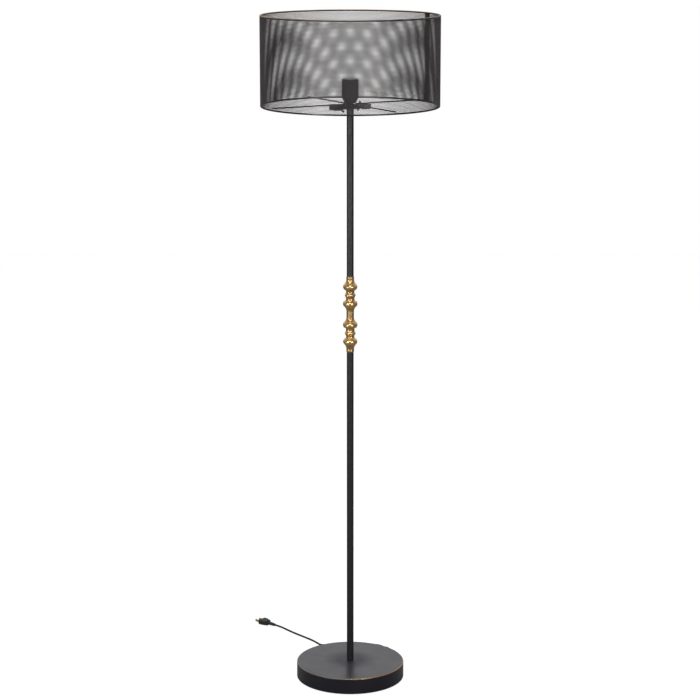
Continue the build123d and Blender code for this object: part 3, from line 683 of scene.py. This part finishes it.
def rounded(
    name: str, node: str, finish: Finish, radius: float, segments: int = 3, body: Body = Body.STAND
) -> Object:
    """A copy of a CAD node with its sharp edges rounded, as the piece that stands for it.

    Args:
        name: the piece's name.
        node: the CAD node.
        finish: its look.
        radius: of the rounding, in millimetres.
        segments: faces across it.
        body: the body that it rides on.

    Returns:
        The piece.
    """
    bm = bmesh.new()
    bm.from_mesh(FRAME["nodes"][node].data)
    bmesh.ops.remove_doubles(bm, verts=bm.verts, dist=0.002 * MM)
    bmesh.ops.dissolve_limit(bm, angle_limit=math.radians(0.4), verts=bm.verts, edges=bm.edges)
    sharp = from_bmesh(name + "_plain", bm, plain(finish))
    bevel = sharp.modifiers.new("round", "BEVEL")
    bevel.width, bevel.segments, bevel.limit_method = radius * MM, segments, "ANGLE"
    bevel.angle_limit, bevel.harden_normals = math.radians(32), False
    return settle(smooth_object(name, applied(sharp, name), plain(finish)), finish, node, body=body)


def paint(finish: Finish, *nodes: str) -> None:
    """Give CAD nodes that stay the material of a finish.

    Args:
        finish: the finish.
        nodes: the CAD nodes.
    """
    for node in nodes:
        piece = FRAME["nodes"][node]
        if not piece.material_slots:
            piece.data.materials.append(plain(finish))
        for holder in piece.material_slots:
            holder.material = plain(finish)


# --- base
@dataclass
class Base:
    """Weighted base: pressed cover with a rubbed edge, and the pieces inside it. Sizes are in millimetres."""

    edge_round: float = 3.0
    wall: float = 1.2
    lip: float = 6.0
    hole_r: float = 5.2
    segments: int = 256
    grommet_angle: float = math.radians(57.0)
    grommet_z: float = 11.0
    head_r: float = 6.0
    neck_r: float = 4.3
    tip_r: float = 3.6
    bore_r: float = 2.97
    flange: float = 2.4
    collar: float = 2.0
    tail: float = 30.0
    ribs: int = 6
    rib_depth: float = 0.5

    def build(self) -> None:
        """Make the cover and the grommet, and paint the CAD nodes that stay."""
        self.radius = span("base_cover", 0)[1]
        self.foot, self.top = span("base_cover")
        self.cover()
        self.grommet()
        paint(FELT, "base_pad")
        paint(HARDBOARD, "base_board")
        paint(CAST_IRON, "base_weight")
        paint(ZINC_STEEL, "base_washer", "base_nipple")
        rounded("base_hex_nut", "base_nut", ZINC_STEEL, 0.5)

    def cover(self) -> None:
        """The pressed pan: flat top, rounded edge, straight wall and the lip rolled in below."""
        r, top, wall, lip = self.radius / MM, (self.top - self.foot) / MM, self.wall, self.radius / MM - self.lip
        profile = [(self.hole_r, top), (r, top, self.edge_round), (r, 0, 1.0), (lip, 0, 0.4), (lip, wall, 0.4)]
        profile += [(r - wall, wall, 0.3), (r - wall, top - wall, self.edge_round - wall), (self.hole_r, top - wall)]
        material = base_material(self.radius, self.top, self.edge_round * MM)
        lathe("base_pressed_cover", "base_cover", above(self.foot, profile), BASE_BLACK, self.segments, material)

    def grommet(self) -> None:
        """Ribbed strain relief: it grips the cover's wall, from which its heights run outwards to the cord."""
        head, neck, tip, bore, rib = self.head_r, self.neck_r, self.tip_r, self.bore_r, self.rib_depth
        wall_out, wall_in, end = 0.1, -self.wall - 0.25, self.tail
        back = wall_in - self.flange
        profile = [(bore, back), (head, back, 0.5), (head, wall_in), (neck, wall_in), (neck, wall_out)]
        profile += [(head, wall_out, 0.6), (head, wall_out + self.collar, 0.6)]
        start, thick = wall_out + self.collar + 1.0, head - 0.6
        pitch = (end - 3.0 - start) / self.ribs
        for i in range(self.ribs):
            near, far = start + i * pitch, start + (i + 0.55) * pitch
            outer = thick + (tip - thick) * (near - start) / (end - start)
            profile += [(outer - rib, near), (outer, near, 0.2), (outer - 0.1, far, 0.2), (outer - rib, far)]
        profile += [(tip, end - 2.5), (tip, end, 0.5), (bore, end)]
        at = lying(self.grommet_z * MM, self.grommet_angle)
        lathe("cord_strain_relief", "cord_grommet", above(self.radius, profile), RUBBER, 48, at=at)


# --- pole and column
@dataclass
class Pole:
    """Three tubes with their bushes and threaded nipples inside."""

    wall: float = 1.2 * MM
    ease: float = 0.3 * MM

    def build(self) -> None:
        """Make the tubes and paint what is inside them."""
        for node in ("lower_tube", "middle_tube", "upper_tube"):
            low, high = span(node)
            r = span(node, 0)[1]
            profile = [(r - self.wall, low), (r, low, self.ease), (r, high, self.ease), (r - self.wall, high)]
            lathe(node.replace("tube", "pole"), node, profile, SATIN_BLACK)
        paint(ZINC_STEEL, "tube_bushes", "coupler_nipples", "top_nipple")


@dataclass
class Column:
    """The turned column: half of its profile from the waist up, mirrored. Sizes are in millimetres."""

    segments: int = 128
    bore_r: float = 5.05
    patina_r: float = 9.0
    clean_r: float = 12.5

    def build(self) -> None:
        """Make the column on the axis between the middle and upper tubes."""
        low, high = span("turned_column")
        middle, half = (low + high) / 2, (high - low) / 2 / MM
        upper = self.half_profile(half)
        profile = [(r, -h) for r, h in reversed(upper)] + upper[1:] + [(self.bore_r, half), (self.bore_r, -half)]
        material = gold_material(self.patina_r * MM, self.clean_r * MM)
        lathe("gold_column", "turned_column", above(middle, profile), ANTIQUE_GOLD, self.segments, material)

    @staticmethod
    def half_profile(end: float) -> list:
        """The profile of the upper half.

        Args:
            end: height of the collar's end above the waist.

        Returns:
            (radius, height) pairs from the waist to the end.
        """
        shape = [(8.65, 0.0), (8.65, 6.5)]  # waist
        shape += arc(shape[-1], (10.2, 13.5), (14.0, 18.2))  # cove
        shape += arc(shape[-1], (16.75, 24.8), (14.6, 30.6), 14)  # bulb
        shape += [(11.6, 31.3), (10.9, 31.6)]  # shoulder
        shape += arc(shape[-1], (9.8, 36.8), (10.9, 41.0), 8)  # neck
        shape += arc(shape[-1], (12.4, 44.9), (10.7, 48.6))  # ring
        shape += arc(shape[-1], (9.5, 52.5), (10.3, 55.6), 6)  # upper neck
        shape += [(10.6, 55.8), (11.5, 56.6)]
        shape += arc(shape[-1], (16.5, 64.4), (14.5, 69.6), 14)  # bead
        shape += arc(shape[-1], (10.6, 74.8), (8.9, 80.0))  # flare
        shape += [(8.9, 82.9)] + arc((8.9, 83.25), (9.2, 84.25), (8.9, 85.25), 6)  # fine ring
        shape += [(8.9, end - 0.4), (8.5, end)]
        return shape


# --- cross bar, spider and wing screws
@dataclass
class Carrier:
    """Cross bar, spider plate, four spokes and two wing screws. Sizes are in millimetres.

    Each spoke has its CAD node, its angle in degrees and the distance of its root from the axis.
    """

    wire_r: float = 1.6
    weld_bead: float = 0.55
    plate_top: float = 1362.5
    reach: float = 200.35
    spokes: tuple = (
        ("spoke_back_right", 30.0, 13.0),
        ("spoke_back_left", 120.0, 9.0),
        ("spoke_front_left", 210.0, 13.0),
        ("spoke_front_right", 300.0, 9.0),
    )

    def build(self) -> None:
        """Make every piece that carries the shade."""
        rounded("square_cross_bar", "cross_bar", BRACKET_BLACK, 0.25, 2)
        rounded("saddle_plate", "spider_plate", BRACKET_BLACK, 0.4)
        for spoke in self.spokes:
            self.spoke(*spoke)
        rounded("thumb_wing_left", "wing_screw_left", BRACKET_BLACK, 0.5, body=Body.LEFT_SCREW)
        rounded("thumb_wing_right", "wing_screw_right", BRACKET_BLACK, 0.5, body=Body.RIGHT_SCREW)

    def spoke(self, node: str, angle: float, start: float) -> None:
        """One wire with rounded ends and a weld bead near its root.

        Args:
            node: its CAD node.
            angle: its direction, in degrees.
            start: distance of its root from the axis.
        """
        r, length = self.wire_r, self.reach - start
        profile = [(0, 0)] + arc((0, 0), (0.71 * r, 0.29 * r), (r, r), 5)
        profile += [(r, 2.0)] + arc((r, 2.0), (r + self.weld_bead, 4.5), (r, 7.0), 6)
        profile += [(r, length - r)] + arc((r, length - r), (0.71 * r, length - 0.29 * r), (0, length), 5)
        at = lying((self.plate_top + r) * MM, math.radians(angle))
        lathe(node.replace("spoke", "wire"), node, above(start * MM, profile), BRACKET_BLACK, 32, at=at)


# --- shade
@dataclass
class Shade:
    """Perforated drum: a staggered hole pattern bent round the axis, rolled hems, wires and a lap seam."""

    columns: int = 402
    rows: int = 72
    pitch: float = 3.175 * MM
    hole: float = 2.42 * MM
    hole_sides: int = 8
    sheet: float = 0.6 * MM
    hem_r: float = 2.2 * MM
    hem_sheet: float = 0.55 * MM
    hem_turn: float = math.radians(222)
    hem_start: float = 0.42  # from the last holes' centres, in pitches
    wire_r: float = 1.55 * MM
    lap_angle: float = math.radians(30)
    lap_columns: int = 6
    lap_shift: float = 0.25 * MM
    lap_gap: float = 0.05 * MM
    panels_round: int = 6
    panels_high: int = 2
    segments: int = 288

    def build(self) -> None:
        """Make the wall with its lap, the hems and the wires."""
        self.outer_r = span("shade_sheet", 0)[1]
        self.low, self.high = span("shade_sheet")
        self.row_height = self.pitch * math.sqrt(3) / 2
        self.first_row = (self.low + self.high) / 2 - (self.rows - 1) * self.row_height / 2
        self.unit, self.tree = self.cell(), pattern_tree()
        self.wall()
        bpy.data.objects.remove(self.unit)
        bpy.data.node_groups.remove(self.tree)
        self.hem(Rim.BOTTOM, "bottom_ring", 0.12)
        self.hem(Rim.TOP, "top_ring", 0.9)

    def cell(self) -> Object:
        """One hexagon of sheet with a round hole, lying flat: the pattern's repeat.

        Returns:
            The cell as an object.
        """
        bm = bmesh.new()
        same_area = math.sqrt(math.tau / (self.hole_sides * math.sin(math.tau / self.hole_sides)))
        shapes = {"edge": (self.pitch / math.sqrt(3), 6), "hole": (self.hole / 2 * same_area, self.hole_sides)}
        loops = {}
        for z in (0.0, -self.sheet):
            for part, (radius, sides) in shapes.items():
                angles = [math.tau * (i + 0.5) / sides for i in range(sides)]
                verts = [bm.verts.new((radius * math.cos(t), radius * math.sin(t), z)) for t in angles]
                loops[part, z] = [bm.edges.new((verts[i], verts[(i + 1) % sides])) for i in range(sides)]
        for first, second in (
            (("edge", 0.0), ("hole", 0.0)),
            (("edge", -self.sheet), ("hole", -self.sheet)),
            (("hole", 0.0), ("hole", -self.sheet)),
        ):
            bmesh.ops.bridge_loops(bm, edges=loops[first] + loops[second])
        bmesh.ops.triangulate(bm, faces=bm.faces)
        made = from_bmesh("cell", bm, plain(SHADE_BRONZE))
        made.data.polygons.foreach_set("use_smooth", [False] * len(made.data.polygons))
        return made

    def wall(self) -> None:
        """The wall in panels, and the strip of the same sheet that laps behind its seam."""
        columns, rows = self.columns // self.panels_round, self.rows // self.panels_high
        wall_r = self.columns * self.pitch / math.tau
        for i in range(self.panels_round):
            for j in range(self.panels_high):
                self.panel(f"perforated_panel_{i}{'ab'[j]}", wall_r, (i * columns, j * rows), (columns, rows))
        lap_r = wall_r - self.sheet - self.lap_gap
        first = round(self.lap_angle * lap_r / self.pitch) - self.lap_columns // 2
        self.panel("lap_strip", lap_r, (first, 0), (self.lap_columns, self.rows), self.lap_shift)

    def panel(self, name: str, radius: float, first: tuple, count: tuple, shift: float = 0.0) -> None:
        """One panel made by the pattern tree and kept as a plain mesh.

        Args:
            name: the object's name.
            radius: of its outer face.
            first: its first column and row in the sheet.
            count: its columns and rows.
            shift: how far its holes stand above the sheet's.
        """
        holder = in_scene(name + "_pattern", bpy.data.meshes.new(name))
        modifier = holder.modifiers.new("pattern", "NODES")
        modifier.node_group = self.tree
        values = (self.unit, count[0], count[0] * count[1], *first, self.pitch, self.row_height, radius)
        values += (self.first_row + shift, plain(SHADE_BRONZE))
        sockets = [s.identifier for s in self.tree.interface.items_tree if s.in_out == "INPUT"]
        for socket, value in zip(sockets, values):
            modifier[socket] = value
        settle(in_scene(name, applied(holder, name)), SHADE_BRONZE, "shade_sheet")

    def hem(self, rim: Rim, ring: str, gold: float) -> None:
        """The plain band at one edge, rolled inwards round the rim's wire, and the wire in it.

        Args:
            rim: the edge.
            ring: the CAD node of its wire.
            gold: how much of the band is rubbed to gold, 0 to 1.
        """
        way, key, steps = rim.value, rim.name.lower(), 22
        end, last_row = (self.high, self.rows - 1) if way > 0 else (self.low, 0)
        centre_r, centre_z = self.outer_r - self.hem_r, end - way * self.hem_r
        band = self.first_row + last_row * self.row_height + way * self.hem_start * self.pitch

        def ring_point(radius: float, turn: float) -> tuple:
            """(radius, height) of a point round the hem's wire."""
            return centre_r + radius * math.cos(turn), centre_z + way * radius * math.sin(turn)

        turns = [self.hem_turn * i / steps for i in range(steps + 1)]
        profile = [(self.outer_r, band)] + [ring_point(self.hem_r, t) for t in turns]
        profile += [ring_point(self.hem_r - self.hem_sheet, t) for t in reversed(turns)]
        profile += [(self.outer_r - self.hem_sheet, band)]
        material = hem_material(f"hem_bronze_{key}", end, gold)
        lathe(f"rolled_hem_{key}", "shade_sheet", profile, SHADE_BRONZE, self.segments, material)
        circle = [ring_point(self.wire_r, math.tau * i / 12) for i in range(12)]
        lathe(f"rim_wire_{key}", ring, circle, BRACKET_BLACK, self.segments)


def pattern_tree() -> NodeTree:
    """Geometry Nodes that lay out one panel of cells in the flat and bend it round the Z axis.

    Returns:
        The tree.
    """
    inputs = "o:Cell i:Columns i:Count i:First_Column i:First_Row f:Pitch f:Row_Height f:Radius f:Foot m:Material"
    w, given, out = node_group("perforation", inputs, "g:Geometry", "GeometryNodeTree")
    index = w.node("GeometryNodeInputIndex").outputs[0]
    column = w.math("ADD", w.math("FLOORED_MODULO", index, given["Columns"]), given["First Column"])
    row = w.math("ADD", w.math("FLOOR", w.math("DIVIDE", index, given["Columns"])), given["First Row"])
    across = w.math("ADD", column, w.product(w.math("FLOORED_MODULO", row, 2.0), 0.5))
    flat = w.vector(w.product(across, given["Pitch"]), w.product(row, given["Row Height"]), 0.0)
    points = w.step("GeometryNodePoints", {}, Count=given["Count"], Position=flat)
    cell = w.step("GeometryNodeObjectInfo", {"transform_space": "ORIGINAL"}, Object=given["Cell"]).node
    cells = w.step("GeometryNodeInstanceOnPoints", {}, Points=points, Instance=cell.outputs["Geometry"])
    whole = w.step("GeometryNodeRealizeInstances", {}, Geometry=cells)
    joined = w.step("GeometryNodeMergeByDistance", {}, Geometry=whole, Distance=0.02 * MM)
    x, y, z = w.parts(w.node("GeometryNodeInputPosition").outputs[0])
    angle, radius = w.math("DIVIDE", x, given["Radius"]), w.math("ADD", z, given["Radius"])
    across, along = w.product(radius, w.math("COSINE", angle)), w.product(radius, w.math("SINE", angle))
    bent = w.vector(across, along, w.math("ADD", y, given["Foot"]))
    curved = w.step("GeometryNodeSetPosition", {}, Geometry=joined, Position=bent)
    w.feed(out.inputs[0], w.step("GeometryNodeSetMaterial", {}, Geometry=curved, Material=given["Material"]))
    return w.tree


# --- lampholder
@dataclass
class Holder:
    """Two-part lampholder with its insulating core, threaded sleeve and centre contact.

    Sizes are in millimetres, and the heights in a profile are from the piece's own foot.
    """

    radius: float = 19.0
    bore_r: float = 5.05
    neck_r: float = 7.5
    neck_h: float = 3.7
    cone_r: float = 12.4
    floor: float = 4.0
    spigot_r: float = 16.95
    spigot_bore: float = 14.9
    spigot_h: float = 6.0
    socket_r: float = 17.0
    mouth_r: float = 15.6
    line_h: float = 0.7
    line_depth: float = 0.3
    core_r: float = 16.85
    core_wall_r: float = 15.2
    core_bore: float = 13.75
    thread_r: float = 13.35
    thread_depth: float = 0.28
    thread_pitch: float = 3.629
    thread_rows: int = 66
    brass: float = 0.3
    brass_root: float = 8.5

    def build(self) -> None:
        """Make the housing and the sleeve, and paint the small pieces."""
        self.cap()
        self.shell()
        self.core()
        self.sleeve()
        paint(CORD_BLACK, "terminal_wires", "inner_lead")
        paint(BRASS, "centre_strip")
        rounded("terminal_screw_pair", "terminal_screws", BRASS, 0.25, 2)
        rounded("spring_contact", "centre_tongue", BRASS, 0.08, 2, Body.TONGUE)

    def cap(self) -> None:
        """The cone below the seam, with its neck on the plate and the spigot that the shell turns on."""
        foot = span("socket_cap")[0]
        r, seam, floor = self.radius, (span("socket_shell")[0] - foot) / MM, self.neck_h + self.floor
        spigot, spigot_bore, spigot_top = self.spigot_r, self.spigot_bore, seam + self.spigot_h
        profile = [(self.bore_r, 0), (self.neck_r, 0, 0.3), (self.neck_r, self.neck_h, 0.3)]
        profile += [(self.cone_r, self.neck_h, 1.2), (r, seam - 1.4, 3.0), (r, seam, 0.35), (spigot, seam)]
        profile += [(spigot, spigot_top), (spigot_bore, spigot_top), (spigot_bore, seam - 5.0)]
        profile += [(self.cone_r, seam - 5.0), (self.cone_r, floor), (self.bore_r, floor)]
        lathe("holder_cap", "socket_cap", above(foot, profile), HOLDER_BLACK)

    def shell(self) -> None:
        """The outer shell: an eased seam, two shallow lines below a rounded mouth."""
        foot, mouth = span("socket_shell")
        r, mouth, step = self.radius, (mouth - foot) / MM, 10.0
        profile = [(self.socket_r, 0), (r, 0, 0.35)]
        for z in (mouth - 9.0, mouth - 6.5):
            line, deep = self.line_h, r - self.line_depth
            profile += [(r, z - line), (deep, z - line / 2), (deep, z + line / 2), (r, z + line)]
        profile += [(r, mouth, 1.1), (self.mouth_r, mouth, 0.8), (self.mouth_r, step), (self.socket_r, step)]
        lathe("holder_shell", "socket_shell", above(foot, profile), HOLDER_BLACK)

    def core(self) -> None:
        """The insulating core: flange, floor with its recess, and a thin wall round the sleeve."""
        foot, top = span("socket_core")
        wall, bore, recess, top = self.core_wall_r, self.core_bore, self.neck_r, (top - foot) / MM
        profile = [(0, 0), (self.core_r, 0), (self.core_r, 4.0), (wall, 4.0), (wall, top, 0.4), (bore, top, 0.4)]
        profile += [(bore, 8.0), (recess, 8.0, 0.3), (recess, 3.0), (0, 3.0)]
        lathe("holder_core_insert", "socket_core", above(foot, profile), HOLDER_CORE)

    def sleeve(self) -> None:
        """The brass sleeve, rolled into the lamp's thread."""
        low, high = span("screw_shell")
        top, rows, root, thin = (high - low) / MM, self.thread_rows, self.brass_root, 0.35
        inner, outer = self.thread_r - self.brass / 2, self.thread_r + self.brass / 2
        heights = [1.0 + (top - 1.8) * i / rows for i in range(rows + 1)]
        profile = [(inner, z) for z in reversed(heights)] + [(inner, thin), (root, thin), (root, 0), (outer, 0)]
        profile += [(outer, z) for z in heights] + [(outer, top), (inner, top)]

        def wave(radius: float, height: float, angle: float) -> float:
            """Radius of the rolled thread, which stops short of the sleeve's ends.

            Args:
                radius, height, angle: a place on the plain sleeve.

            Returns:
                The radius there.
            """
            if height < low + 0.9 * MM or height > high - 0.7 * MM:
                return radius
            turn = math.tau * height / (self.thread_pitch * MM) - angle
            return radius + self.thread_depth * MM * math.cos(turn)

        lathe("threaded_sleeve", "screw_shell", above(low, profile), BRASS, wave=wave)


# --- cord
@dataclass
class Cord:
    """Flat twin cord from the grommet, through a tied hank behind the base, to its plug.

    Sizes are in millimetres. The loose stretches, lead and trail, are listed point by point.
    """

    width: float = 3.0
    height: float = 5.0
    length: float = 1744.0
    hank_at: tuple = (10.0, 157.0)
    half: float = 48.0
    runs: int = 9
    inner: float = 19.0
    step: float = 1.8
    draw: float = 5.0
    waist: float = 7.0
    low: float = 3.5
    high: float = 9.1
    per_half_turn: int = 6
    lobe_steps: int = 9
    lead: tuple = (
        (85.51, 131.67, 11.0), (94.2, 145.06, 11.0), (94.8, 161.0, 8.6), (87.2, 175.1, 5.6), (73.5, 183.2, 3.5),
    )
    trail: tuple = (
        (-53.0, 183.2, 9.1), (-64.2, 187.4, 7.0), (-72.9, 195.7, 4.2), (-78.8, 208.4, 2.7), (-91.0, 229.5, 2.55),
        (-113.5, 256.0, 2.55), (-139.0, 284.5, 2.55), (-159.5, 309.0, 3.1), (-176.0, 323.8, 6.0),
        (-192.0, 338.2, 6.0),
    )

    def run_offset(self, index: int) -> float:
        """Distance of one run from the hank's long axis."""
        return self.inner + self.step * abs(index - self.runs // 2)

    def hank(self) -> list:
        """Control points of the hank's runs and half-turns. The far runs go left and the near ones go right.

        Returns:
            A list of (x, y, z) places.
        """
        middle, (x0, y0) = self.runs // 2, self.hank_at
        points = []
        for k in range(self.runs):
            side = 1 if k % 2 == 0 else -1
            wide, narrow = self.run_offset(k), self.run_offset(k) - self.draw
            z_in, z_out = (self.low if k <= middle else self.high), (self.low if k < middle else self.high)
            z_mid, quarter = (z_in + z_out) / 2, (self.half - self.waist) / 4
            stations = [(self.half, wide, z_in), (self.half - quarter, wide, z_in)]
            stations += [(self.waist + quarter, narrow, z_mid), (self.waist, narrow, z_mid)]
            stations += [(-self.waist, narrow, z_mid), (-self.waist - quarter, narrow, z_mid)]
            stations += [(-self.half + quarter, wide, z_out), (-self.half, wide, z_out)]
            points += [(x0 + side * x, y0 + side * y, z) for x, y, z in stations]
            if k < self.runs - 1:
                radius = (wide + self.run_offset(k + 1)) / 2
                angle = math.pi / self.per_half_turn
                reach = radius / math.cos(angle / 2)
                for j in range(self.per_half_turn):
                    turn = math.pi / 2 - angle * (j + 0.5)
                    x = -side * (self.half + reach * math.cos(turn))
                    y = side * (wide - radius + reach * math.sin(turn))
                    points.append((x0 + x, y0 + y, z_out))
        return points

    def section(self) -> list:
        """The twin section: two round conductors, one above the other.

        Returns:
            A closed ring of (x, y, z) places.
        """
        lobe = self.width / 2
        centre = self.height / 2 - lobe
        start = math.asin(-centre / lobe)
        angles = [start + (math.pi - 2 * start) * i / self.lobe_steps for i in range(self.lobe_steps + 1)]
        upper = [(lobe * math.cos(t), centre + lobe * math.sin(t), 0) for t in angles]
        return upper + [(-x, -y, 0) for x, y, _ in upper]

    @staticmethod
    def curve(name: str, kind: str, places: list) -> Curve:
        """A curve with one spline.

        Args:
            name: its name.
            kind: the spline's type.
            places: the spline's points.

        Returns:
            The curve.
        """
        data = bpy.data.curves.new(name, "CURVE")
        data.resolution_u = 6
        spline = data.splines.new(kind)
        spline.points.add(len(places) - 1)
        for point, place in zip(spline.points, places):
            point.co = (*[v * MM for v in place], 1)
        return data

    def build(self) -> None:
        section = self.curve("cord_section", "POLY", self.section())
        section.dimensions = "2D"
        section.splines[0].use_cyclic_u = True
        data = self.curve("mains_cord", "NURBS", [*self.lead, *self.hank(), *self.trail])
        data.dimensions = "3D"
        data.twist_mode = "Z_UP"
        data.splines[0].order_u = 3
        data.splines[0].use_endpoint_u = True
        data.bevel_mode = "OBJECT"
        data.bevel_object = bpy.data.objects.new("cord_section", section)
        data.use_fill_caps = True
        data.materials.append(plain(CORD_BLACK))
        cord = settle(in_scene("mains_cord", data), CORD_BLACK, "cord_lead", "cord_hank", "cord_run")
        tie = rounded("woven_tie", "hank_tie", TIE_BLACK, 0.25, 2)
        plug = rounded("moulded_plug", "plug_body", PLUG_BLACK, 1.2)
        blades = rounded("plug_blade_pair", "plug_blades", BRASS, 0.2, 2)


# --- studio
@dataclass(frozen=True)
class Softbox:
    """An area light: its place, target, width and height in metres, and its power in watts.

    A gloss box shows in gloss only and adds no general light.
    """

    name: str
    place: tuple
    target: tuple
    size: tuple
    power: float
    gloss: bool = False

    def build(self) -> None:
        """Hang the light."""
        data = bpy.data.lights.new(self.name, "AREA")
        data.shape, data.size, data.size_y, data.energy = "RECTANGLE", *self.size, self.power
        made = in_scene(self.name, data)
        made.location = self.place
        made.rotation_euler = (Vector(self.target) - Vector(self.place)).to_track_quat("-Z", "Y").to_euler()
        made.visible_camera = False
        made.visible_diffuse = not self.gloss


@dataclass
class Studio:
    """Camera, floor, world and lights of the product photograph. Lengths are in metres.

    Behind and above are ramps of the room's brightness over the Y and the Z of a direction: its start and end,
    and the brightness before and beyond them. The glow of the floor is what reflections see and what the camera
    sees.
    """

    distance: float = 4.838
    eye_height: float = 1.8544
    tilt: float = math.radians(77.66)
    lens: float = 110.13
    sensor: float = 36.0
    shift: float = -0.0003
    behind: tuple = (-0.3, 0.85, 0.13, 1.0)
    above: tuple = (-0.08, 0.22, 0.18, 1.0)
    floor_half: float = 6.0
    floor_glow: tuple = (0.06, 0.89)
    floor_colour: tuple = (0.22, 0.22, 0.22)
    lights: tuple = (
        Softbox("front_high", (-0.3, -3.6, 3.4), (0, 0, 1.2), (0.6, 0.9), 70),
        Softbox("left_strip", (-1.7, -1.9, 1.12), (0, 0, 1.2), (0.28, 0.75), 34, gloss=True),
        Softbox("right_strip", (1.2, -2.2, 1.12), (0, 0, 1.2), (0.18, 0.75), 26, gloss=True),
        Softbox("overhead", (0, 0.4, 4.2), (0, 0, 0), (2.4, 2.4), 50),
    )

    def camera(self) -> None:
        """The camera in front of the lamp, level from side to side and looking slightly down."""
        data = bpy.data.cameras.new("camera")
        data.lens, data.sensor_width, data.shift_x = self.lens, self.sensor, self.shift
        data.clip_start, data.clip_end = 0.1, 60.0
        made = in_scene("camera", data)
        made.location = (0, -self.distance, self.eye_height)
        made.rotation_euler = (self.tilt, 0, 0)
        bpy.context.scene.camera = made

    def world(self) -> None:
        """White behind the lamp for the camera, and a room that is brighter behind and above for the rest."""
        world = bpy.data.worlds.new("room")
        bpy.context.scene.world = world
        world.use_nodes = True
        w = Wiring(world.node_tree)
        _, y, z = w.parts(w.node("ShaderNodeTexCoord").outputs["Generated"])
        room = w.product(w.ramp(y, *self.behind), w.ramp(z, *self.above))
        path = w.node("ShaderNodeLightPath").outputs
        seen = w.math("MAXIMUM", path["Is Camera Ray"], path["Is Transmission Ray"])
        light = w.step("ShaderNodeBackground", {}, Color=(1.0, 1.0, 1.0), Strength=w.mix(room, 1.0, seen))
        w.feed(w.node("ShaderNodeOutputWorld").inputs[0], light)

    def floor(self) -> None:
        """A white floor that keeps a faint shadow and is dimmer in reflections."""
        bm = bmesh.new()
        bmesh.ops.create_grid(bm, x_segments=1, y_segments=1, size=self.floor_half)
        material = bpy.data.materials.new("floor_white")
        material.use_nodes = True
        w = Wiring(material.node_tree)
        seen = w.node("ShaderNodeLightPath").outputs["Is Camera Ray"]
        glow = w.step("ShaderNodeEmission", {}, Strength=w.mix(*self.floor_glow, seen))
        matt = w.step("ShaderNodeBsdfDiffuse", {}, Color=self.floor_colour)
        w.feed(w.node("ShaderNodeOutputMaterial").inputs[0], w.step("ShaderNodeAddShader", {}, glow, matt))
        from_bmesh("floor", bm, material)

    def build(self) -> None:
        """Make the surroundings and the lights."""
        self.world()
        self.floor()
        for light in self.lights:
            light.build()


def main() -> None:
    """Build the camera, then the lamp's pieces from the cord to the shade, then the studio round them."""
    logging.basicConfig(level=logging.INFO, format="%(message)s")
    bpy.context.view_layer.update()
    studio = Studio()
    studio.camera()
    for piece in (Cord(), Base(), Pole(), Column(), Carrier(), Holder(), Shade(), studio):
        piece.build()
    bpy.context.scene.view_settings.view_transform = "Standard"


if __name__ == "__main__":
    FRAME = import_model()
    main()
